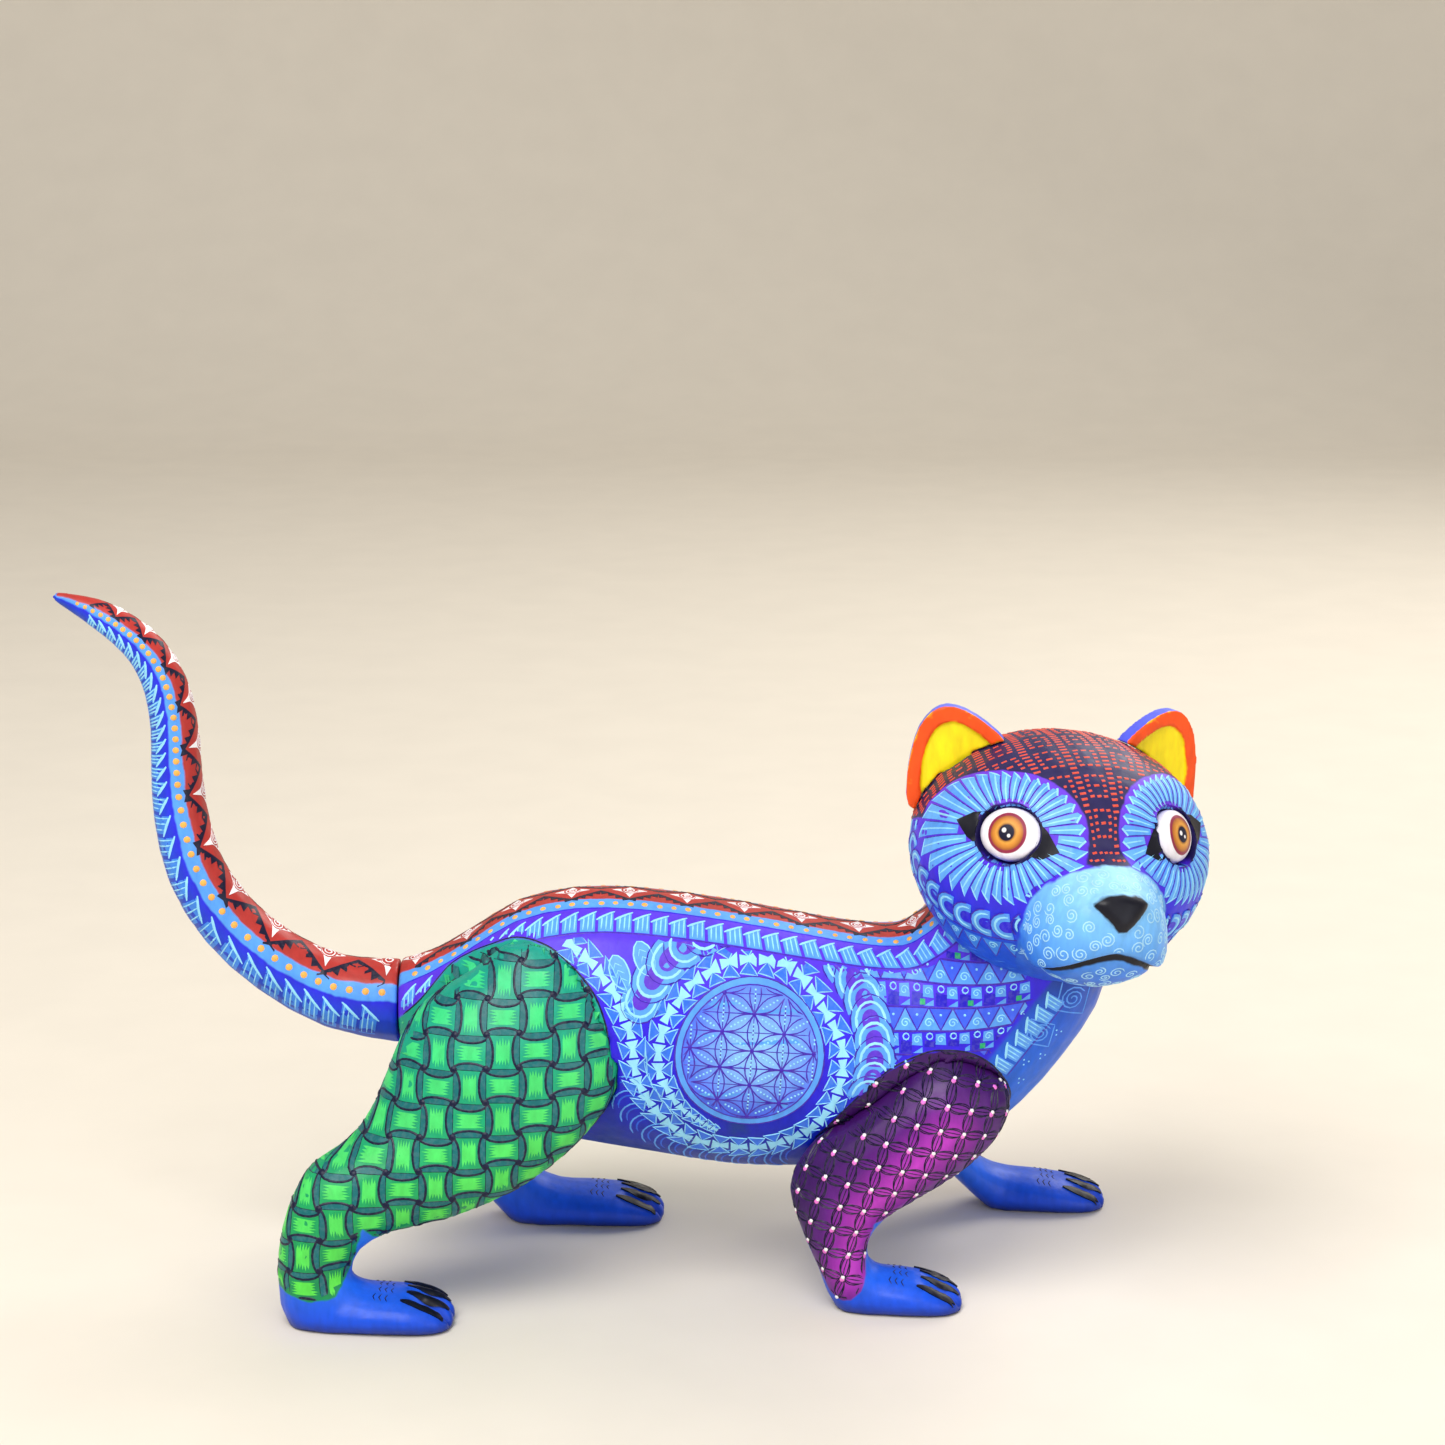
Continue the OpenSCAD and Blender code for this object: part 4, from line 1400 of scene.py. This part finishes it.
paint_back(trunk_paint)
for flank_side in (-1, 1):
    flank = side_chart(flank_canvas, flank_side)
    paint_scallops(flank_paint, flank)
    paint_neck(flank_paint, flank)
    paint_roundel(flank_paint, flank)
    paint_chain(flank_paint, flank)
    paint_chest(trunk_paint, flank_side)


# ---------------------------------------------------------------- the tail's patterns

tail_paint = Coat("tail_paint")


def tail_stripe_half(s):
    return TAIL_STRIPE * float(tail_width(s))


def tail_motif_size(s):
    """1 where the tail has the width that the motifs are drawn for, less towards its tip."""
    drawn_for = 8.6
    return tail_stripe_half(s) / drawn_for


def paint_tail(coat):
    """The back's stripe, dots and blades carried on along the tail, smaller towards its tip."""
    full = STRIPE_EDGE
    whorls_end, dots_end, blades_end = [tail_sleeve.length - left for left in (13, 4, 10)]
    at = scaled(tail_sleeve.at, tail_stripe_half, full)
    stripe_motifs(coat, at, 1.0, whorls_end, lambda s: 1.7 * tail_stripe_half(s), full)
    s = 1.2
    while s < dots_end:
        size = tail_motif_size(s)
        for side in (-1, 1):
            coat.dot(at, (s, side * full * 1.24), 1.0 * size ** 0.5, ORANGE_DOT)
        s += 3.9 * max(size, 0.6)
    s = 0.6
    while s < blades_end:
        pitch = 5.0 * tail_motif_size(s) ** 0.7
        for side in (-1, 1):
            here = moved(at, s, 0)
            feather(coat, lambda x, y: here(x, side * (full * 1.5 + y)), pitch, full * 1.15,
                    srgb(56, 134, 236))
        s += pitch


paint_tail(tail_paint)


# ---------------------------------------------------------------- the legs' patterns

PATCH_MARKS = {"hind": "green_patch", "fore": "purple_patch"}


def leg_chart(name):
    """The right leg's x and z: on the trunk and the leg's top seen from the side, lower down on the leg
    carried round its edges."""
    end, side = end_of(name), side_of(name)
    skin = legs[name]
    low, high = (3, 97) if end == "hind" else (3, 70)
    trunk_room = {torso.name: trunk_marks[PATCH_MARKS[end]] - 0.2}
    on_trunk = side_chart(Canvas([torso, skin], trunk_room), side)
    from_side = side_chart(Canvas([torso, skin], {**trunk_room, skin.name: leg_patches[name] - 0.2}), side)
    sleeve = LevelSleeve(Canvas([skin], {skin.name: leg_patches[name] - 0.2}), skin, side, low, high)
    trunk_tree = Canvas([torso]).tree
    outward = Vector((0, side, 0))

    def at(x, z):
        if side > 0:
            x += stances[end].stride * float(stances[end].share(z))
        if z > high - 9:
            return from_side(x, z)
        found = on_trunk(x, z)
        if found:
            return found
        found = sleeve.at(z, x)
        if found is None:
            return None
        _, normal, _, _ = trunk_tree.ray_cast(found[0] + found[1] * 0.2, outward)
        buried = normal is not None and normal.dot(outward) > 0
        return None if buried else found
    return at


def weave_tone(x, z):
    """Lime that turns blue-green towards the top and the back."""
    return mixed(srgb(92, 222, 62), srgb(44, 206, 134), min(1.0, max(0.0, (z - 30 - x * 0.3) / 75)))


def paint_weave(coat, at):
    """A basket weave: hollow-sided strands that pass over each other, with brushed light in their middles."""
    pitch_x, pitch_z = 8.7, 8.2
    for i in range(-3, 14):
        for j in range(-13, 3):
            x, z = j * pitch_x + 2.0, i * pitch_z + 1.0 + j * 0.5
            cell = moved(at, x, z)
            level = (i + j) % 2 == 0

            def upright(u, v, cell=cell):
                return cell(v * pitch_x / pitch_z, u * pitch_z / pitch_x)

            paint_strand(coat, cell if level else upright, pitch_x, weave_tone(x, z))
            coat.dot(at, (x - pitch_x / 2, z - pitch_z / 2), 1.15, LEG_NAVY, 0.3, 7)


def paint_strand(coat, at, pitch, tone):
    """One strand, from -pitch/2 to pitch/2 along x."""
    half = pitch / 2
    bulge = pitch * 0.2
    burst = []
    for end in (-1, 1):
        sweep = np.linspace(-1, 1, 11)
        for k, y in enumerate(sweep):
            depth = (0.80 if k % 2 else 0.42) + rng.uniform(-0.1, 0.1)
            waist = 0.62 + 0.22 * depth
            burst.append((end * half * depth, end * y * (half - bulge * 1.15) * waist))
    coat.fill(at, burst, tone, 0.08, 2.2)
    for end in (-1, 1):
        angles = np.linspace(-1.45, 1.45, 9)
        curve = [(end * (half + bulge * math.cos(t)), half * math.sin(t)) for t in angles]
        straight = [(end * half, half * 0.96), (end * half, -half * 0.96)]
        coat.fill(at, curve + straight, TEAL, 0.11, 2.4)
        coat.stroke(at, [(end * half, -half)] + curve + [(end * half, half)], LEG_NAVY, 0.8, 0.2, 0.06)
        coat.stroke(at, straight, LEG_NAVY, 0.28, 0.12, 0.03)


def paint_net(coat, at):
    """A net of thin ovals with a white and pink drop of paint at every knot."""
    right, down = (6.2, -1.3), (-1.9, -6.2)
    for i in range(-2, 12):
        for j in range(-3, 14):
            x = 50 + right[0] * j + down[0] * i
            z = 78 + right[1] * j + down[1] * i
            for way in (right, down):
                edge = moved(at, x, z, math.atan2(way[1], way[0]))
                reach = math.hypot(*way)
                for tilt, squash in ((0.0, 0.27), (0.16, 0.36)):
                    oval = ring((reach / 2, 0), reach * 0.43, 12, squash * 1.35, tilt)
                    coat.stroke(edge, oval, INK, 0.42, 0.15)
                coat.stroke(edge, [(0, 0.1), (reach, -0.1)], INK, 0.35, 0.13)
            coat.dot(at, (x - 0.3, z - 0.45), 0.8, PINK, 0.26, 7)
            coat.dot(at, (x + 0.1, z + 0.1), 0.62, WHITE, 0.42, 7)


def paint_foot(coat, name):
    """Dark claws along the toes and short strokes over the knuckles."""
    skin = legs[name]
    top = Canvas([skin])
    tip, middle = toes_of(points_of(skin))
    long, knuckles = (11.0, 16) if name.startswith("hind") else (10.0, 15)

    def above(x, y):
        found = top.hit(Vector((x, y, 14)), Vector((0, 0, -1)))
        return found if found and found[1].z > 0.05 else None

    for toe in (-1.5, -0.5, 0.5, 1.5):
        front = tip - 0.6 - 1.3 * abs(toe)

        def along_toe(x, y, front=front, toe=toe):
            return above(front - x, toe_line(front - x, toe, tip, middle) + y)

        half = [(0, 0.3), (1.5, 0.9), (long * 0.45, 1.3), (long * 0.75, 1.0), (long, 0.15)]
        claw = half + [(x, -y) for x, y in reversed(half)]
        coat.fill(along_toe, smooth_path(claw, 1.0, True), CLAW, 0.45, 0.7)
        for step in (-1.6, 0, 1.6):
            start = knuckles + step
            coat.stroke(along_toe, [(start, -1.3), (start + 0.6, 0), (start, 1.3)], INK, 0.4, 0.15)


def paint_patch_edge(coat, name):
    """A dark line along the part of the patch's edge that crosses the trunk."""
    end, side = end_of(name), side_of(name)
    at = side_chart(Canvas([torso, legs[name]]), side)
    visible = PATCHES[end][:11] if end == "hind" else PATCHES[end][:10]
    shift = [0.0 if side < 0 else stances[end].stride * float(stances[end].share(z)) for x, z in visible]
    path = smooth_path([(x + s, z) for (x, z), s in zip(visible, shift)], 1.5)
    coat.stroke(at, path, LEG_NAVY if end == "hind" else INK, 0.6, 0.18)


leg_coats = []
for leg_name in LEGS:
    leg_coat = Coat(leg_name + "_paint")
    chart = leg_chart(leg_name)
    if leg_name.startswith("hind"):
        paint_weave(leg_coat, chart)
    else:
        paint_net(leg_coat, chart)
    paint_foot(leg_coat, leg_name)
    paint_patch_edge(leg_coat, leg_name)
    leg_coats.append((leg_coat, SLOTS[leg_name]))


# ---------------------------------------------------------------- the head's patterns

head_paint = Coat("head_paint", 1.1)
mask_paint = Coat("mask_paint")
head_points = points_of(head)
head_rooms = {"crown": crown_inside(head_points), "muzzle": muzzle_inside(head_points)}
head_marks = np.minimum(-head_rooms["crown"], -head_rooms["muzzle"]) - 0.2
plain_head = Canvas([head], {head.name: head_marks})
crown_room = np.minimum(head_rooms["crown"], -head_rooms["muzzle"]) - 0.3
crown_canvas = Canvas([head], {head.name: crown_room})
head_local = local_head(head_points)
jaw_clear = np.abs(head_local[:, 2] - mouth_level(head_local[:, 1])) - 1.3
nose_clear = -inside_distance(head_local[:, [1, 2]], NOSE) - 0.4
muzzle_room = np.minimum(np.minimum(head_rooms["muzzle"], jaw_clear), nose_clear) - 0.3
muzzle_canvas = Canvas([head], {head.name: muzzle_room})


def eye_chart(canvas, side):
    """Towards the nose and up from the eye's middle; side is -1 for the figure's right eye."""
    at = round_chart(canvas, head_centre, eye_axis(side), head_direction(0, 0, 1), FACE_RADIUS)
    return lambda u, v: at(u * -side, v)


def lid_reach(angle):
    """From the eye's middle to the edge of its eyelids, corners included, in the direction of that angle."""
    u, v = math.cos(angle), math.sin(angle)
    ball = 1 / math.hypot(u / 8.8, v / 7.6)
    corner = 13.6 if u > 0 else 14.4
    return max(ball, corner - 13 * abs(v))


def mask_reach(angle):
    u, v = math.cos(angle), math.sin(angle)
    return 1 / math.hypot(u / (MASK_IN if u > 0 else MASK_OUT), v / (MASK_UP if v > 0 else MASK_DOWN))


def paint_mask(coat, side):
    """Blades all round the eye, each with a pale edge and a pale bar across its end."""
    at = eye_chart(plain_head, side)
    count = 34
    for i in range(count):
        start, stop = [2 * math.pi * (i + k) / count for k in (0.05, 0.9)]
        middle = (start + stop) / 2
        inner, outer = lid_reach(middle) + 0.2, mask_reach(middle) - 1.6
        if outer - inner < 1.5:
            continue
        spots = [(r * math.cos(a), r * math.sin(a)) for r, a in
                 ((inner, start), (outer - 0.9, start), (outer + 1.5, stop), (inner, stop))]
        coat.fill(at, spots, mixed(LIGHT_BLUE, srgb(104, 178, 250), rng.random()), 0.08)
        coat.stroke(at, [spots[0], spots[1]], LINE_VIOLET, 0.35, 0.12, 0.05)
        reaches = (inner + 0.6, outer * 0.6 + inner * 0.4, outer)
        pale = [(r * math.cos(middle), r * math.sin(middle)) for r in reaches]
        coat.stroke(at, pale, PALE_CYAN, 0.55, 0.16, 0.06)
        coat.stroke(at, [spots[1], spots[2]], PALE_CYAN, 0.6, 0.16, 0.06)


def paint_crown(coat):
    """Ladders of short brick dashes from the brow over the top, with nested squares between them."""
    at = round_chart(crown_canvas, head_centre, head_direction(0.45, 0, 0.89), head_direction(-1, 0, 0), 35)

    def track(u, v):
        """Tracks draw together towards the brow, which is at negative v."""
        return at(u * (0.5 + 0.5 * min(1.0, max(0.0, (v + 36) / 40))), v)

    def dash(u, v, half):
        coat.stroke(track, [(u - half, v), (u + half, v + 0.2)], CROWN_BRICK, 0.95, 0.16)

    pitch = 10.8
    for column in range(-5, 6):
        middle = column * pitch
        for v in np.arange(-36, 72, 1.75):
            dash(middle + pitch / 2, v, 1.05)
        for row in range(-4, 8):
            v = row * pitch
            for level in (-3.4, 3.4):
                for u in (-2.4, 0, 2.4):
                    dash(middle + u, v + level, 0.75)
            for level in (-1.7, 0, 1.7):
                for u in (-2.7, 2.7):
                    dash(middle + u, v + level, 0.6)
            dash(middle, v, 0.9)


def paint_muzzle(coat):
    """Little pale spirals packed over the muzzle and the chin, round wherever the chart is stretched."""
    at = round_chart(muzzle_canvas, head_frame @ Vector((22, 0, -9.5)), head_direction(1, 0, 0),
                     head_direction(0, 0, 1), 18)
    span = 1.5
    placed = []
    for _ in range(4500):
        u, v = rng.uniform(-34, 34), rng.uniform(-34, 30)
        size = rng.uniform(1.5, 2.2)
        spot, aside, above = at(u, v), at(u + span, v), at(u, v + span)
        if not (spot and aside and above):
            continue
        local = to_head @ spot[0]
        if local.x < 31 and local.z < float(mouth_level(local.y)) + 2:
            continue
        wide = span / (aside[0] - spot[0]).length
        tall = span / (above[0] - spot[0]).length
        even = 0.55 < min(wide, tall) and max(wide, tall) < 1.7
        if even and all((spot[0] - place).length > (size + c) * 0.84 for place, c in placed):
            placed.append((spot[0], size))
            curl = spiral((0, 0), size, rng.uniform(1.5, 2.0), rng.uniform(0, 6.3), rng.choice((-1, 1)))
            coat.stroke(at, [(u + x * wide, v + y * tall) for x, y in curl], srgb(168, 220, 253), 0.5, 0.14)


def paint_cheek(coat, side):
    """Under the mask a row of fish-scales, then a row of triangles with spirals, then brushed streaks."""
    at = eye_chart(plain_head, side)

    def under(distance, low, high):
        spots = []
        for angle in np.radians(np.linspace(low, high, 15)):
            reach = mask_reach(angle) + distance
            spots.append((reach * math.cos(angle), reach * math.sin(angle)))
        return spots

    scales = Ribbon(at, under(6.0, 178, 310))
    count = 11
    for i in range(count):
        scallop(coat, moved(scales.at, scales.length * (i + 0.5) / count, 0), 4.1, 0.03 * i, ULTRAMARINE)
    edge = Ribbon(at, under(11.0, 186, 304))
    coat.stroke(edge.at, [(0, 0.8), (edge.length, 0.8)], LINE_VIOLET, 0.5, 0.14)
    pitch = 6.2
    for i in range(int(edge.length / pitch)):
        tip = moved(edge.at, (i + 0.5) * pitch, 0)
        coat.fill(tip, [(-2.9, -0.4), (2.9, -0.4), (0, -6.6)], srgb(62, 140, 240), 0.08)
        coat.stroke(tip, [(-3, -0.2), (0, -6.8), (3, -0.2)], LINE_VIOLET, 0.45, 0.14, 0.04)
        coat.stroke(tip, spiral((0, -2.2), 1.4, 1.5), PALE_CYAN, 0.45, 0.13, 0.07)
    for i in range(60):
        s = rng.uniform(0, edge.length)
        t = rng.uniform(-19, -8)
        length = rng.uniform(2.5, 5)
        coat.stroke(edge.at, [(s, t), (s + length, t + length * 0.25)], srgb(62, 130, 236), 0.35, 0.11)


for eye_side in (-1, 1):
    paint_mask(mask_paint, eye_side)
    paint_cheek(head_paint, eye_side)
paint_crown(head_paint)
paint_muzzle(head_paint)


# ---------------------------------------------------------------- eyes

def lid_corner(coat, side):
    """The dark points of the eyelids' opening at both corners of the eye."""
    at = eye_chart(Canvas([head]), side)

    def beside_ball(low, high):
        angles = np.radians(np.linspace(low, high, 9))
        return [(8.5 * math.cos(t), 6.9 * math.sin(t)) for t in angles]

    outer = [(-14.4, 1.0), (-10.6, 3.7), *beside_ball(138, 222), (-10.6, -2.6)]
    inner = [(13.6, -2.2), (9.4, -5.0), *beside_ball(-42, 42), (9.6, 2.4)]
    for corner in (outer, inner):
        coat.fill(at, corner, CLAW, 0.16, 1.2)


EYE_WIDE, EYE_TALL = 8.4, 6.9


def eye_dome(name, side):
    """The eyeball: an oval dome that stands a little out of the head, as far as the CAD one does."""
    pole = eye_axis(side)
    up = head_direction(0, 0, 1)
    north = (up - pole * up.dot(pole)).normalized()
    east = north.cross(pole)
    reach = max((v.co / MM - head_centre).dot(pole) for v in frame["nodes"][name].data.vertices)
    rise, sink = 3.4, 2.5
    rows, sides = 26, 60
    points, flat = [], []
    for share in [1.0] + [1 - k / rows for k in range(rows)]:
        for i in range(sides):
            angle = 2 * math.pi * i / sides
            u, v = EYE_WIDE * share * math.cos(angle), EYE_TALL * share * math.sin(angle)
            level = reach - rise + rise * math.sqrt(max(0.0, 1 - share ** 2))
            if len(points) < sides:
                level -= sink
            points.append(head_centre + east * u + north * v + pole * level)
            flat.append((u, v))
    points += [head_centre + pole * reach, head_centre + pole * (reach - rise - sink)]
    flat += [(0, 0), (0, 0)]
    faces = []
    for row in range(rows):
        for i in range(sides):
            j = (i + 1) % sides
            faces.append((row * sides + i, row * sides + j, (row + 1) * sides + j, (row + 1) * sides + i))
    for i in range(sides):
        j = (i + 1) % sides
        faces.append((rows * sides + i, rows * sides + j, len(points) - 2))
        faces.append((j, i, len(points) - 1))
    mesh = bpy.data.meshes.new(name + "_dome")
    mesh.from_pydata([p * MM for p in points], [], faces)
    mesh.shade_smooth()
    eye = bpy.data.objects.new(name + "_dome", mesh)
    bpy.context.scene.collection.objects.link(eye)
    dress_eye(eye, np.array(flat))
    return eye


def dress_eye(eye, flat):
    """The white with painted shade at its rim, the iris with its dark ring, the pupil and two glints, from
    each point's (u, v).
    """
    ring_edge, iris_edge, pupil_edge = 5.25, 4.45, 2.1
    glint_spots = ((-0.75, 0.5, 0.62), (0.8, -0.7, 0.45))
    reach = np.hypot(flat[:, 0], flat[:, 1])
    rim = np.hypot(flat[:, 0] / EYE_WIDE, flat[:, 1] / EYE_TALL)
    glints = [radius - np.hypot(flat[:, 0] - u, flat[:, 1] - v) for u, v, radius in glint_spots]
    # The white greys towards violet at the dome's rim: painted shade round the edge of the eyeball.
    white = ramp(rim, ((0.6, WHITE), (0.95, srgb(236, 232, 244)), (1.0, srgb(196, 196, 226))))
    amber = ramp(reach, ((2.0, srgb(120, 62, 30)), (2.7, srgb(226, 160, 66)), (3.6, srgb(206, 132, 48)),
                         (4.6, srgb(150, 78, 40))))
    set_colours(eye.data, "base", white)
    set_colours(eye.data, "amber_tone", amber)
    set_measure(eye, "ring", ring_edge - reach)
    set_measure(eye, "amber", iris_edge - reach)
    set_measure(eye, "pupil", pupil_edge - reach)
    set_measure(eye, "glint", np.maximum(*glints))


eye_paint = skin_paint("painted_eye", (("ring", IRIS_RING), ("amber", "amber_tone"), ("pupil", INK),
                                       ("glint", WHITE)), 0.1, 0.12)
for eye_side, eye_name in ((-1, "eye_right"), (1, "eye_left")):
    lid_corner(mask_paint, eye_side)
    dome = eye_dome(eye_name, eye_side)
    dome.data.materials.append(eye_paint)
    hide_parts(eye_name)
    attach(dome, "carving")


# ---------------------------------------------------------------- the paint's pieces

thick_paint = stroke_paint("thick_paint")
for coat, body, slot in [(trunk_paint, "carving", "painted_trunk"), (flank_paint, "carving", "painted_trunk"),
                         (head_paint, "carving", "painted_head"), (mask_paint, "carving", "painted_head"),
                         (tail_paint, "tail", "painted_tail"),
                         *[(coat, "carving", slot) for coat, slot in leg_coats]]:
    coat.build(thick_paint, body, slot)


# ---------------------------------------------------------------- floor, light and camera

def pale_material(name, colour):
    material, tree, shader = new_material(name)
    share = spread(tree, noise(tree, 30, 4.0), 0.0, 1.0)
    shade = blend_colours(tree, share, colour, tuple(c * 0.97 for c in colour))
    tree.links.new(shade, shader.inputs["Base Color"])
    shader.inputs["Roughness"].default_value = 0.7
    return material


def sweep_floor():
    """A plain floor that curves up into a backdrop far behind."""
    wide, near, far, bend, tall = 2.6, -1.6, 1.5, 0.5, 1.9
    profile = [(near, 0.0), (far, 0.0)]
    turns = np.linspace(0.1, math.pi / 2, 12)
    profile += [(far + bend * math.sin(a), bend * (1 - math.cos(a))) for a in turns]
    profile += [(far + bend, tall)]
    points = [(x, y, z) for y, z in profile for x in (-wide, wide)]
    faces = [(2 * i, 2 * i + 1, 2 * i + 3, 2 * i + 2) for i in range(len(profile) - 1)]
    mesh = bpy.data.meshes.new("floor")
    mesh.from_pydata(points, [], faces)
    mesh.shade_smooth()
    floor = bpy.data.objects.new("floor", mesh)
    bpy.context.scene.collection.objects.link(floor)
    mesh.materials.append(pale_material("pale_floor", srgb(236, 228, 214)))


def area_light(name, place, target, size, watts, colour):
    data = bpy.data.lights.new(name, "AREA")
    data.size, data.energy, data.color = size, watts, colour
    lamp = bpy.data.objects.new(name, data)
    lamp.location = place
    lamp.rotation_euler = (Vector(target) - Vector(place)).to_track_quat("-Z", "Y").to_euler()
    bpy.context.scene.collection.objects.link(lamp)


def light_scene():
    world = bpy.data.worlds.new("studio")
    bpy.context.scene.world = world
    world.use_nodes = True
    world.node_tree.nodes["Background"].inputs["Color"].default_value = (1.0, 0.97, 0.93, 1)
    world.node_tree.nodes["Background"].inputs["Strength"].default_value = 0.42
    target = (0, 0, 0.08)
    area_light("key", (-0.35, -0.75, 1.25), target, 0.9, 18, (1.0, 0.98, 0.95))
    area_light("rim", (0.7, 0.8, 0.9), target, 0.8, 8, (1.0, 0.97, 0.92))
    area_light("fill", (0.9, -1.1, 0.45), target, 1.0, 5, (0.95, 0.97, 1.0))


def place_camera():
    """In front of the figure's right side and a little above it, as a person sitting at the table sees it."""
    degrees_above = 13
    data = bpy.data.cameras.new("camera")
    data.sensor_width = 36
    data.lens = 84.7
    camera = bpy.data.objects.new("camera", data)
    camera.location = Vector((24.4, -876.4, 355.6)) * MM
    camera.rotation_euler = (math.radians(90 - degrees_above), 0, 0)
    bpy.context.scene.collection.objects.link(camera)
    bpy.context.scene.camera = camera


sweep_floor()
light_scene()
place_camera()
bpy.context.scene.view_settings.view_transform = "Standard"
